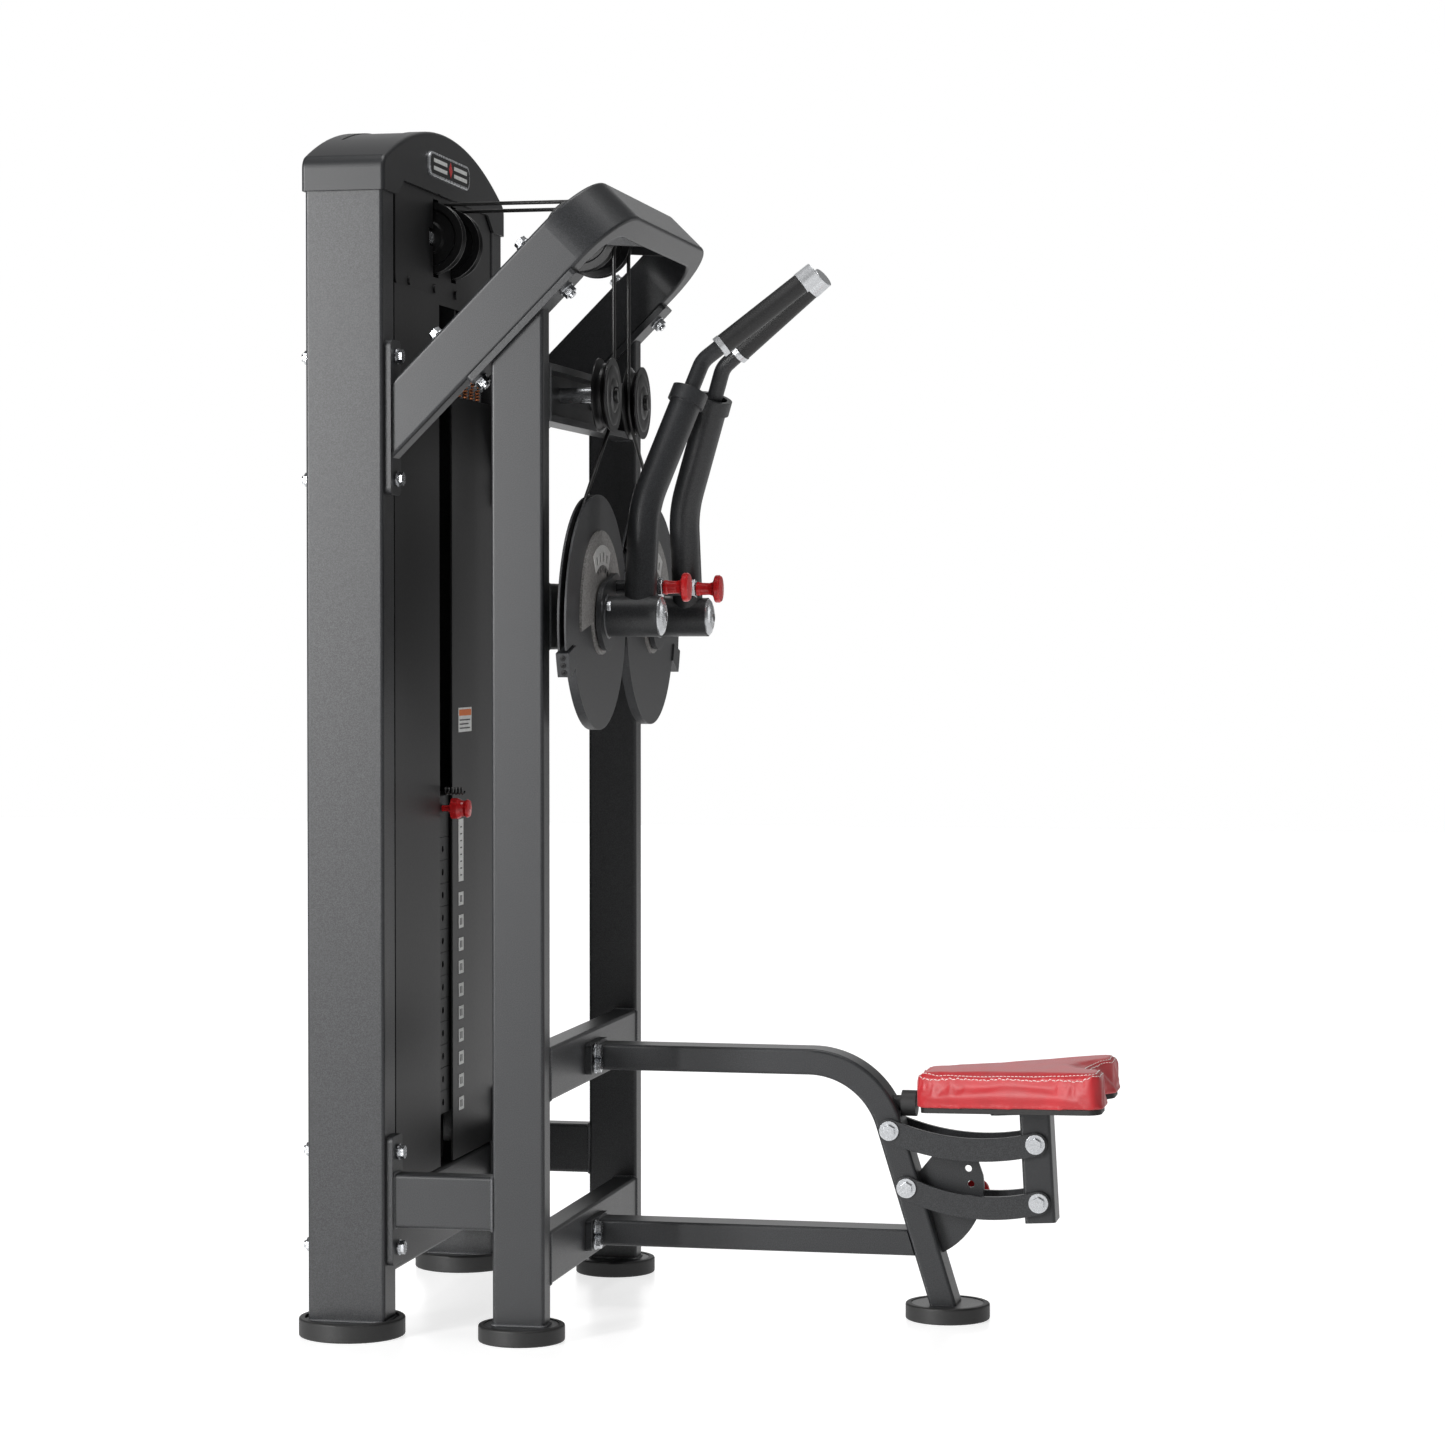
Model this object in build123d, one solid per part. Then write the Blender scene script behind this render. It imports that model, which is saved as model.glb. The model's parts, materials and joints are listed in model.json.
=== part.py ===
from build123d import *
import os
from math import asin, atan2, cos, degrees, hypot, radians, sin, sqrt

# Dual-arm lat pulldown machine, in millimetres.
# Axes while modelling: X runs from the weight tower towards the seat, Y across the
# machine (negative Y is the seated user's left), Z up from the floor.  X = 0 is the
# middle of the tower columns; every node is moved along X at the end, so that the
# origin of the finished model is under the middle of its bounding box.

os.makedirs("parts", exist_ok=True)

# ---- driving dimensions -----------------------------------------------------------
# steel tube sections and plates
TOWER_X, TOWER_Y, TOWER_WALL = 120, 60, 4
LEG_W, LEG_D, LEG_WALL = 80, 40, 3.5
SEAT_TUBE_W, SEAT_TUBE_H = 60, 40
TUBE_R = 5
FIT = 0.05            # radial running clearance of a pivot
GAP = 0.5             # air between parts that pass each other
HOLE_GAP = 0.5        # a clearance hole is this much larger in radius than its bolt

# overall places
TOWER_SPAN = 310      # tower column centres from the middle plane
LEG_SPAN = TOWER_SPAN - 5      # front column centres from the middle plane
LEG_X = 262           # front columns, forward of the tower columns
SEAT_FOOT_X = 860
TOWER_TOP = 1748
CAP_BASE, CAP_TOP = TOWER_TOP - 34, TOWER_TOP + 89
CAP_DROP = 75.57      # fall of the cap's arch from its middle to its ends
CAP_WALL = 4

# rubber feet
FOOT_R_REAR, FOOT_H_REAR = 80, 28
FOOT_R_FRONT, FOOT_H_FRONT = 65, 25
FOOT_FLOOR = 14       # rubber under the steel foot plate
FOOT_PLATE = 10

# cables and pulleys
CABLE_R = 3
ROPE_R = 52           # radius of the cable's centre line on every pulley
PULLEY_R = 57
PULLEY_W = 22
PULLEY_AXLE_R = 8
CABLE_SPAN = 50       # the two cables from the middle plane
ROPE_TOP = 1723.5     # height of the level cable run
TOWER_PULLEY_X = 48
CAM_X = LEG_X + LEG_W / 2 + 43     # plane of the cams and lower pulleys
HOOP_PULLEY_X = CAM_X - ROPE_R - 0.5
LOW_PULLEY_Y, LOW_PULLEY_Z = 102, 1420

# cams and arms
HUB_Y, HUB_Z = 176, 1081
CAM_ROPE_R = 178
CAM_RIM = 6           # flange height over the cable's centre line
CAM_LOBE_R, CAM_LOBE_OUT, CAM_LOBE_DOWN = 193.4, 15.8, 12.4
CAM_BODY_R = 172
CAM_T = 14
CAM_TRAVEL = 90       # degrees
SHAFT_R = 20
HUB_R, HUB_X0, HUB_X1 = 31, CAM_X + 21, CAM_X + 101
INDEX_R, INDEX_PITCH, INDEX_COUNT = 71.6, 12, 7
PIN_ANGLE = 51.5      # the pop pin sits this far inward of straight up
ARM_R, ARM_WALL = 24, 3.5
ARM_X = CAM_X + 68.5
HANDLE_R = 12.5
GRIP_R, RING_R = 16, 17

# weight stack
PLATE_COUNT, PLATE_PITCH, PLATE_GAP = 12, 36.5, 0.6
FIRST_HOLE_Z = 313
STACK_FRONT, STACK_DEPTH, STACK_HALF_W = 54, 100, 150
ROD_Y, ROD_R = 95, 12.5
SELECTOR_R, PIN_R = 11, 5
HEAD_H = 66

# hoop, inclined at 45 degrees
HOOP_LOW = 1247       # its lower face is z = x + HOOP_LOW
HOOP_OUT_X = CAM_X + 54        # centre line of its outer face
HOOP_BEND_R = 80
SADDLE_T = 10

# seat linkage (X, Z of the pivots)
UPPER_POST = (774.3, 292.2)
UPPER_SEAT = (999.6, 277.2)
LOWER_POST = (801.2, 204.8)
LOWER_SEAT = (1004.5, 187.8)
LINK_W, LINK_T = 35, 8
LINK_SAG = 18
LINK_TRAVEL = 29
OPEN_PIVOT_GAP = 1.6  # radial play at the pivot where the closed linkage is opened
SEAT_TILT = 3.2
SEAT_X0, SEAT_X1 = 817, 1121
PAD_BASE_Z = 321      # underside of the seat board at its front edge
PAD_FRONT_W, PAD_REAR_W = 100, 300
PAD_T, BOARD_T = 52, 8

# ---- small helpers ----------------------------------------------------------------
nodes = {}


def bx(x0, x1, y0, y1, z0, z1):
    """A box between its lowest and highest corners."""
    return Pos((x0 + x1) / 2, (y0 + y1) / 2, (z0 + z1) / 2) * Box(x1 - x0, y1 - y0, z1 - z0)


def rod(start, direction, radius, length):
    """A round bar from a start point along a direction."""
    return Plane(origin=start, z_dir=direction) * extrude(Circle(radius), length)


def pipe(start, direction, outer, inner, length):
    """A round tube from a start point along a direction."""
    return Plane(origin=start, z_dir=direction) * extrude(Circle(outer) - Circle(inner), length)


def upright(x, y, z0, z1, size_x, size_y, wall):
    """A hollow rectangular tube standing upright."""
    outer = RectangleRounded(size_x, size_y, TUBE_R)
    inner = RectangleRounded(size_x - 2 * wall, size_y - 2 * wall, TUBE_R - 2)
    return Pos(x, y, z0) * extrude(outer - inner, z1 - z0)


def beam_y(x0, x1, z0, z1, half, wall):
    """A hollow rectangular tube lying across the machine."""
    outer = RectangleRounded(x1 - x0, z1 - z0, TUBE_R)
    inner = RectangleRounded(x1 - x0 - 2 * wall, z1 - z0 - 2 * wall, TUBE_R - 2)
    place = Plane(origin=((x0 + x1) / 2, -half, (z0 + z1) / 2), x_dir=(1, 0, 0), z_dir=(0, 1, 0))
    return place * extrude(outer - inner, 2 * half)


def beam_x(y, z0, z1, x0, x1, width, wall):
    """A hollow rectangular tube running along X."""
    outer = RectangleRounded(width, z1 - z0, TUBE_R)
    inner = RectangleRounded(width - 2 * wall, z1 - z0 - 2 * wall, TUBE_R - 2)
    place = Plane(origin=(x0, y, (z0 + z1) / 2), x_dir=(0, 1, 0), z_dir=(1, 0, 0))
    return place * extrude(outer - inner, x1 - x0)


def hex_bolt(start, direction, radius, length, head=True, nut=True):
    """A bolt from under its head along a direction, with washers, head and nut."""
    place = Plane(origin=start, z_dir=direction)
    flats = radius * 1.75
    shape = Pos(0, 0, -2) * extrude(Circle(radius * 2), 2)
    if head:
        shape += Pos(0, 0, -2 - radius * 1.3) * extrude(RegularPolygon(flats, 6), radius * 1.3)
    shape += Pos(0, 0, -2) * extrude(Circle(radius), length + 2)
    if nut:
        shape += Pos(0, 0, length) * extrude(Circle(radius * 2), 2)
        shape += Pos(0, 0, length + 2) * extrude(RegularPolygon(flats, 6), radius * 1.6)
        shape += Pos(0, 0, length) * extrude(Circle(radius), radius * 2.6)
    return place * shape


def group(*solids):
    """Separate solids of one node."""
    flat = []
    for item in solids:
        flat.extend(item.solids())
    return Compound(children=flat)


def both(make):
    """The left piece and the right piece of a symmetric pair."""
    return group(make(-1), make(1))


# ---- frame ------------------------------------------------------------------------
def foot_places():
    """Centre, radius and height of each foot."""
    rear = [(0, side * TOWER_SPAN, FOOT_R_REAR, FOOT_H_REAR) for side in (-1, 1)]
    front = [(LEG_X, side * LEG_SPAN, FOOT_R_FRONT, FOOT_H_FRONT) for side in (-1, 1)]
    return rear + front + [(SEAT_FOOT_X, 0, FOOT_R_FRONT, FOOT_H_FRONT)]


def rubber_foot(x, y, radius, height):
    cup = Pos(x, y, 0) * extrude(Circle(radius), height)
    cup = fillet(cup.edges().filter_by(GeomType.CIRCLE), 3)
    return cup - Pos(x, y, FOOT_FLOOR) * extrude(Circle(radius - 9), height)


nodes["rubber_feet"] = group(*[rubber_foot(*place) for place in foot_places()])
FRAME_BASE = FOOT_FLOOR + FOOT_PLATE


def foot_plate(x, y, foot_radius):
    """The round steel plate welded under an upright, which sits in its rubber foot."""
    return Pos(x, y, FOOT_FLOOR) * extrude(Circle(foot_radius - 9.3), FOOT_PLATE)


# tower columns, bored for the bolts of the hoop and of the side rails
FLANGE_BOLTS = (1286, 1469)
RAIL_BOLTS = (133, 277)
BOLT_R = 6


def tower_column(side):
    y = side * TOWER_SPAN
    tube = upright(0, y, FRAME_BASE, TOWER_TOP, TOWER_X, TOWER_Y, TOWER_WALL)
    for z in FLANGE_BOLTS + RAIL_BOLTS:
        tube -= rod((-TOWER_X, side * LEG_SPAN, z), (1, 0, 0), BOLT_R + HOLE_GAP, 2 * TOWER_X)
    return tube + foot_plate(0, y, FOOT_R_REAR)


nodes["tower_columns"] = both(tower_column)
TOWER_INNER = TOWER_SPAN - TOWER_Y / 2
TOWER_FRONT = TOWER_X / 2

# tower cross beams; the upper one lets both cables and the guide rods through
LOWER_BEAM_TOP = 211
UPPER_BEAM_Z0, UPPER_BEAM_Z1 = 1500, 1540
LOWER_BEAM_Z0 = 91
nodes["tower_lower_beam"] = beam_y(
    -40, TOWER_FRONT - 4, LOWER_BEAM_Z0, LOWER_BEAM_TOP, TOWER_INNER, TOWER_WALL)
upper_beam = beam_y(-40, 40, UPPER_BEAM_Z0, UPPER_BEAM_Z1, TOWER_INNER, TOWER_WALL)
CABLE_X = TOWER_PULLEY_X - ROPE_R
for side in (-1, 1):
    upper_beam -= rod((CABLE_X, side * CABLE_SPAN, UPPER_BEAM_Z0 - 1), (0, 0, 1), 9, 60)
    upper_beam -= rod((0, side * ROD_Y, UPPER_BEAM_Z0 - 1), (0, 0, 1), ROD_R + HOLE_GAP, 10)

# hoop: a rectangular tube bent into a U, its plane inclined at 45 degrees
HOOP_MID = HOOP_LOW + LEG_W / sqrt(2)           # centre line is z = x + HOOP_MID
FLANGE_X = TOWER_FRONT + 10
UP = Vector(1, 0, 1).normalized()
OUT = Vector(-1, 0, 1).normalized()
hoop_end_x = HOOP_OUT_X - LEG_D / 2 / sqrt(2)


def hoop_tube():
    start = FLANGE_X - 60
    corner = [(start, -LEG_SPAN, start + HOOP_MID), (hoop_end_x, -LEG_SPAN, hoop_end_x + HOOP_MID),
              (hoop_end_x, LEG_SPAN, hoop_end_x + HOOP_MID), (start, LEG_SPAN, start + HOOP_MID)]
    path = FilletPolyline(*corner, radius=HOOP_BEND_R)
    section = Plane(origin=path @ 0, x_dir=OUT, z_dir=path % 0)
    ring = RectangleRounded(LEG_W, LEG_D, TUBE_R) - RectangleRounded(
        LEG_W - 2 * LEG_WALL, LEG_D - 2 * LEG_WALL, TUBE_R - 2)
    bent = sweep(section * ring, path=path)
    return bent - bx(-200, FLANGE_X, -600, 600, 1000, 2000)


FLANGE_Z0, FLANGE_Z1 = 1262, 1493
FLANGE_HALF = 26
hoop = hoop_tube()
for side in (-1, 1):
    y = side * LEG_SPAN
    flange = bx(TOWER_FRONT, FLANGE_X, y - FLANGE_HALF, y + FLANGE_HALF, FLANGE_Z0, FLANGE_Z1)
    flange = fillet(flange.edges().filter_by(Axis.X), 10)
    hoop += flange
SADDLE_BOLTS = (LEG_X - 97, LEG_X + 35)
for side in (-1, 1):
    for x in SADDLE_BOLTS:
        mid = Vector(x, side * LEG_SPAN, x + HOOP_MID)
        hoop -= rod(mid - OUT * 60, OUT, BOLT_R + HOLE_GAP, 120)
    for z in FLANGE_BOLTS:
        hoop -= rod((TOWER_FRONT - 5, side * LEG_SPAN, z), (1, 0, 0), BOLT_R + HOLE_GAP, 12 + 5)

# saddle plates under the hoop legs
SADDLE_MID_X = LEG_X + 4
SADDLE_LENGTH = 227


def saddle(side):
    mid = Vector(SADDLE_MID_X, side * LEG_SPAN, SADDLE_MID_X + HOOP_LOW)
    place = Plane(origin=mid, x_dir=UP, z_dir=-OUT)
    plate = place * extrude(RectangleRounded(SADDLE_LENGTH, LEG_D + 14, 6), SADDLE_T)
    for x in SADDLE_BOLTS:
        start = Vector(x, side * LEG_SPAN, x + HOOP_MID) - OUT * 60
        plate -= rod(start, OUT, BOLT_R + HOLE_GAP, 120)
    return plate


nodes["saddle_plates"] = both(saddle)

# front columns, cut at 45 degrees under the saddle plates
SADDLE_UNDER = HOOP_LOW - SADDLE_T * sqrt(2)


def front_column(side):
    column = upright(LEG_X, side * LEG_SPAN, FRAME_BASE, 1600, LEG_W, LEG_D, LEG_WALL)
    place = Plane(origin=(0, 0, SADDLE_UNDER), x_dir=UP, z_dir=OUT)
    column -= place * Pos(400, 0, 300) * Box(1200, 900, 600)
    return column + foot_plate(LEG_X, side * LEG_SPAN, FOOT_R_FRONT)


nodes["front_columns"] = both(front_column)
LEG_INNER = LEG_SPAN - LEG_D / 2
LEG_FRONT = LEG_X + LEG_W / 2
LEG_BACK = LEG_X - LEG_W / 2

# side rails with their bolting flanges
RAIL_Z0, RAIL_Z1 = 165, 245


def side_rail(side):
    y = side * LEG_SPAN
    rail = beam_x(y, RAIL_Z0, RAIL_Z1, FLANGE_X - 1, LEG_BACK, LEG_D, LEG_WALL)
    plate = bx(TOWER_FRONT, FLANGE_X, y - FLANGE_HALF, y + FLANGE_HALF, 108, 302)
    plate = fillet(plate.edges().filter_by(Axis.X), 8)
    for z in RAIL_BOLTS:
        plate -= rod((TOWER_FRONT - 1, y, z), (1, 0, 0), BOLT_R + HOLE_GAP, 20)
    return rail + plate


nodes["side_rails"] = both(side_rail)

# cross beams between the front columns, flush with their front faces
BEAM_D = 40
SEAT_Z, LOWER_TUBE_Z = 394, 119
END_BOLT_Y, END_BOLT_DZ = -50, 11


def front_beam(z0, z1, tube_z):
    beam = beam_y(LEG_FRONT - BEAM_D, LEG_FRONT, z0, z1, LEG_INNER, LEG_WALL)
    for dz in (-END_BOLT_DZ, END_BOLT_DZ):
        beam -= rod((LEG_FRONT - 10, END_BOLT_Y, tube_z + dz), (1, 0, 0), BOLT_R + HOLE_GAP, 20)
    return beam


nodes["front_beams"] = group(front_beam(356, 436, SEAT_Z), front_beam(80, 160, LOWER_TUBE_Z))

# upper cross member: a channel open to the front, which holds the lower pulleys
CHANNEL_Z0, CHANNEL_Z1, CHANNEL_T = LOW_PULLEY_Z - 49, LOW_PULLEY_Z + 38, 10
channel_back = LEG_FRONT - 40
channel = bx(channel_back, LEG_FRONT, -LEG_INNER, LEG_INNER, CHANNEL_Z0, CHANNEL_Z1)
channel -= bx(channel_back + CHANNEL_T, LEG_FRONT + 1, -LEG_INNER - 1, LEG_INNER + 1,
              CHANNEL_Z0 + CHANNEL_T, CHANNEL_Z1 - CHANNEL_T)
for side in (-1, 1):
    channel -= rod((channel_back - 1, side * LOW_PULLEY_Y, LOW_PULLEY_Z), (1, 0, 0), PULLEY_AXLE_R, 20)
nodes["upper_cross_member"] = channel

# pivot beam with the two bearing housings and their shafts
PIVOT_Z0, PIVOT_Z1 = HUB_Z - 50, HUB_Z + 49
pivot = bx(LEG_FRONT - 40, LEG_FRONT, -LEG_INNER, LEG_INNER, PIVOT_Z0, PIVOT_Z1)
pivot = fillet(pivot.edges().filter_by(Axis.Y), TUBE_R)
pivot -= bx(LEG_FRONT - 36, LEG_FRONT - 4, -LEG_INNER - 1, LEG_INNER + 1, PIVOT_Z0 + 4, PIVOT_Z1 - 4)
CAM_BACK, CAM_FRONT = CAM_X - CAM_T / 2, CAM_X + CAM_T / 2
for side in (-1, 1):
    hub = (LEG_FRONT, side * HUB_Y, HUB_Z)
    pivot += rod(hub, (1, 0, 0), 35, CAM_BACK - 4 - LEG_FRONT)
for side in (-1, 1):
    pivot -= rod((LEG_FRONT - 60, side * HUB_Y, HUB_Z), (1, 0, 0), SHAFT_R, 200)
nodes["pivot_beam"] = pivot

# ---- pulleys ----------------------------------------------------------------------
GROOVE_R = ROPE_R - CABLE_R - 0.3
BORE_R = PULLEY_AXLE_R + FIT


def pulley(center, axis):
    """A grooved pulley with a dished web and a hub."""
    half = PULLEY_W / 2
    lip = 2
    slot = CABLE_R + 1.2
    face = Polyline(
        (BORE_R, -half), (24, -half), (27, -half + 4), (43, -half + 4), (46, -half),
        (PULLEY_R, -half), (PULLEY_R, -half + lip), (GROOVE_R + 2, -slot), (GROOVE_R, -2),
        (GROOVE_R, 2), (GROOVE_R + 2, slot), (PULLEY_R, half - lip), (PULLEY_R, half),
        (46, half), (43, half - 4), (27, half - 4), (24, half), (BORE_R, half), close=True)
    wheel = revolve(Plane.XZ * make_face(face), Axis.Z)
    return Plane(origin=center, z_dir=axis) * wheel


hoop_pulley_z = ROPE_TOP - ROPE_R
for name, x in (("tower_pulleys", TOWER_PULLEY_X), ("hoop_pulleys", HOOP_PULLEY_X)):
    nodes[name] = both(lambda side: pulley((x, side * CABLE_SPAN, hoop_pulley_z), (0, 1, 0)))
for name, side in (("left", -1), ("right", 1)):
    nodes["lower_pulley_" + name] = pulley((CAM_X, side * LOW_PULLEY_Y, LOW_PULLEY_Z), (1, 0, 0))

# brackets: two cheeks on the tower's upper beam, two cheeks under the hoop's cross bar
CHEEK_Y, CHEEK_T = 70, 6
AXLE_END = CHEEK_Y + CHEEK_T


def tower_cheek(side):
    y0, y1 = sorted((side * CHEEK_Y, side * AXLE_END))
    plate = bx(-38, TOWER_FRONT - 5, y0, y1, UPPER_BEAM_Z1, hoop_pulley_z + 18)
    plate = fillet(plate.edges().filter_by(Axis.Y).group_by(Axis.Z)[-1], 14)
    return plate - rod((TOWER_PULLEY_X, y0 - 1, hoop_pulley_z), (0, 1, 0), PULLEY_AXLE_R, CHEEK_T + 2)


def hoop_cheek(side):
    y0, y1 = sorted((side * CHEEK_Y, side * AXLE_END))
    inner_x = HOOP_OUT_X - LEG_D / sqrt(2)
    reach = LEG_W / 2 / sqrt(2) - 3
    low = (inner_x + reach, inner_x - reach + HOOP_MID)
    high = (inner_x - reach, inner_x + reach + HOOP_MID)
    x, z = HOOP_PULLEY_X, hoop_pulley_z
    outline = Polyline(low, high, (x - 6, z + 15), (x - 15, z - 6), (x, z - 16), close=True)
    place = Plane(origin=(0, y1, 0), x_dir=(1, 0, 0), z_dir=(0, -1, 0))
    plate = place * extrude(make_face(outline), CHEEK_T)
    return plate - rod((HOOP_PULLEY_X, y0 - 1, hoop_pulley_z), (0, 1, 0), PULLEY_AXLE_R, CHEEK_T + 2)


nodes["tower_upper_beam"] = upper_beam + tower_cheek(-1) + tower_cheek(1)
nodes["hoop"] = hoop + hoop_cheek(-1) + hoop_cheek(1)


# axles and pivot shafts
def cross_axle(x):
    """An axle along Y between two cheeks, with a sleeve between its pulleys."""
    axle = rod((x, -AXLE_END, hoop_pulley_z), (0, 1, 0), PULLEY_AXLE_R, 2 * AXLE_END)
    inner = CABLE_SPAN - PULLEY_W / 2 - GAP
    outer = CABLE_SPAN + PULLEY_W / 2 + GAP
    axle += rod((x, -inner, hoop_pulley_z), (0, 1, 0), 12, 2 * inner)
    heads = ((-AXLE_END - 8, -AXLE_END), (AXLE_END, AXLE_END + 8))
    for y0, y1 in ((-CHEEK_Y, -outer), (outer, CHEEK_Y)) + heads:
        axle += rod((x, y0, hoop_pulley_z), (0, 1, 0), 12, y1 - y0)
    return axle


def low_axle(side):
    """The axle of a lower pulley, bolted through the web of the channel."""
    y = side * LOW_PULLEY_Y
    place = (channel_back - 10, y, LOW_PULLEY_Z)
    back, front = CAM_X - PULLEY_W / 2 - GAP, CAM_X + PULLEY_W / 2 + GAP
    axle = rod(place, (1, 0, 0), PULLEY_AXLE_R, front + 8 - channel_back + 10)
    inside = channel_back + CHANNEL_T
    axle += rod((inside, y, LOW_PULLEY_Z), (1, 0, 0), 12, back - inside)
    axle += rod((channel_back - 8, y, LOW_PULLEY_Z), (1, 0, 0), 14, 8)
    return axle + rod((front, y, LOW_PULLEY_Z), (1, 0, 0), 12, 8)


def pivot_shaft(side):
    start = (LEG_FRONT - BEAM_D, side * HUB_Y, HUB_Z)
    return rod(start, (1, 0, 0), SHAFT_R, HUB_X1 - 8 - LEG_FRONT + BEAM_D)


nodes["axles"] = group(
    cross_axle(TOWER_PULLEY_X), cross_axle(HOOP_PULLEY_X),
    low_axle(-1), low_axle(1), pivot_shaft(-1), pivot_shaft(1))

# ---- cables -----------------------------------------------------------------------
# On each side the cable runs over the tower pulley and the hoop pulley, down to the
# inner side of the lower pulley, round under it and out to the rim of the cam.
gap_y, gap_z = HUB_Y - LOW_PULLEY_Y, LOW_PULLEY_Z - HUB_Z
ROPE_LEAN = atan2(gap_y, gap_z) + asin((ROPE_R + CAM_ROPE_R) / hypot(gap_y, gap_z))
LEAN = degrees(ROPE_LEAN)
TOUCH_ANGLE = 90 - LEAN          # where the cable meets the cam, outward of straight up
SCARF = 12                       # the fixed run stops this far short of the cam


def around(radius, angle, x, side):
    """A point round a hub, at an angle outward of straight up."""
    a = radians(angle)
    return Vector(x, side * (HUB_Y + radius * sin(a)), HUB_Z + radius * cos(a))


def wound_rope(side, start, end):
    """The centre line of cable lying in the groove of a cam, between two angles."""
    angles = (start, (start + end) / 2, end)
    return ThreePointArc(*[around(CAM_ROPE_R, angle, CAM_X, side) for angle in angles])


def cable(side):
    y = side * CABLE_SPAN
    down_x = HOOP_PULLEY_X + ROPE_R
    down = (side * sin(ROPE_LEAN), -cos(ROPE_LEAN))
    touch = around(CAM_ROPE_R, TOUCH_ANGLE, CAM_X, side)
    end = (down_x, touch.Y - down[0] * SCARF, touch.Z - down[1] * SCARF)
    bend = LOW_PULLEY_Z - ROPE_R * sin(ROPE_LEAN / 2) / cos(ROPE_LEAN / 2)
    points = [(CABLE_X, y, hoop_pulley_z), (CABLE_X, y, ROPE_TOP), (down_x, y, ROPE_TOP),
              (down_x, y, bend), end]
    path = FilletPolyline(*points, radius=[ROPE_R - 0.001, ROPE_R, ROPE_R])
    start = Plane(origin=path @ 0, z_dir=path % 0)
    strand = sweep(start * Circle(CABLE_R), path=path)
    hub = Plane(origin=(CAM_X, side * HUB_Y, HUB_Z), z_dir=(1, 0, 0))
    cut = strand - hub * Torus(CAM_ROPE_R, CABLE_R + 0.35)
    return max(cut.solids(), key=lambda solid: solid.volume)


for name, side in (("left", -1), ("right", 1)):
    nodes["cable_" + name] = cable(side)

# ---- cams -------------------------------------------------------------------------
CLAMP_ANGLE = 110
RIM_START, RIM_END = -66, 104
RIM_R = CAM_ROPE_R + CAM_RIM
ROPE_FLOOR = CAM_ROPE_R - CABLE_R - 0.3
CAM_BORE = SHAFT_R + FIT
CAM_EDGE_R = CAM_LOBE_R + CAM_LOBE_OUT


def hub_plane(x, side):
    """An upright plane across a hub's axis, its own X axis outward and its Y axis up."""
    return Plane(origin=(x, side * HUB_Y, HUB_Z), x_dir=(0, side, 0), z_dir=(side, 0, 0))


def sector(radius, start, end):
    """A pie slice between two angles measured outward from straight up."""
    steps = 24
    turn = (end - start) / steps
    rim = [(radius * sin(radians(start + turn * i)), radius * cos(radians(start + turn * i)))
           for i in range(steps + 1)]
    middle = rim[steps // 2]
    arc = ThreePointArc(rim[0], middle, rim[-1])
    return make_face(Line((0, 0), rim[0]) + arc + Line(rim[-1], (0, 0)))


def slab(face, side, x0, x1):
    """A face drawn round a hub, made into a plate between two planes."""
    plane = hub_plane(x1 if side < 0 else x0, side)
    return plane * extrude(face, x1 - x0)


def cam(side):
    lobe = Pos(CAM_LOBE_OUT, -CAM_LOBE_DOWN) * Circle(CAM_LOBE_R) & sector(260, 0, RIM_END)
    body = Circle(CAM_BODY_R) + sector(RIM_R, RIM_START, RIM_END) + lobe
    plate = slab(body, side, CAM_BACK, CAM_FRONT)
    groove = slab(Circle(CAM_EDGE_R + 20) - Circle(ROPE_FLOOR), side, CAM_X - 3.6, CAM_X + 3.6)
    plate -= groove
    low, high = CLAMP_ANGLE - 5, CLAMP_ANGLE + 5
    outer, inner = CAM_EDGE_R + 4, CAM_BODY_R - 4
    flat = sector(outer, low, high) - Circle(inner)
    plate += slab(flat, side, CAM_BACK - 3, CAM_FRONT + 3)
    hub = (CAM_BACK - 3, side * HUB_Y, HUB_Z)
    plate += rod(hub, (1, 0, 0), 38, CAM_T + 6)
    plate -= rod((CAM_BACK - 10, side * HUB_Y, HUB_Z), (1, 0, 0), CAM_BORE, 40)
    return plate


INDEX_T = 4
INDEX_FRONT = CAM_FRONT + INDEX_T
POP_R = 5


def index_plate(side):
    face = sector(130, -70, 100) + Circle(58)
    face -= Circle(38 + GAP)
    for i in range(INDEX_COUNT):
        angle = radians(-PIN_ANGLE + i * INDEX_PITCH)
        face -= Pos(INDEX_R * sin(angle), INDEX_R * cos(angle)) * Circle(POP_R + HOLE_GAP)
    return slab(face, side, CAM_FRONT, INDEX_FRONT)


def wound_cable(side):
    start = TOUCH_ANGLE - CAM_TRAVEL
    arc = wound_rope(side, start, CLAMP_ANGLE - 5.2)
    section = Plane(origin=arc @ 0, z_dir=arc % 0)
    return sweep(section * Circle(CABLE_R), path=arc)


# ---- arms -------------------------------------------------------------------------
BRACKET_X0, BRACKET_X1 = INDEX_FRONT + 2, INDEX_FRONT + 10
PIN_Y = HUB_Y - INDEX_R * sin(radians(PIN_ANGLE))
PIN_Z = HUB_Z + INDEX_R * cos(radians(PIN_ANGLE))
BEND_1 = (ARM_X, HUB_Y - 35, HUB_Z + 169)
COLLAR = (CAM_X + 125.9, HUB_Y - 82.6, HUB_Z + 335)
HANDLE_BEND = 62      # from the middle of the collar to the bend of the handle
GRIP_DIR = (0.766, -0.176, 0.619)
ARM_BEND_R = 200
COLLAR_R, COLLAR_H = 28.5, 23
BUSH_DEPTH, BUSH_H = 30, 40
POP_STEM_X = CAM_X + 95      # where the knob of the pop pin begins


def mirrored(point, side):
    x, y, z = point
    return Vector(x, side * y, z)


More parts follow.
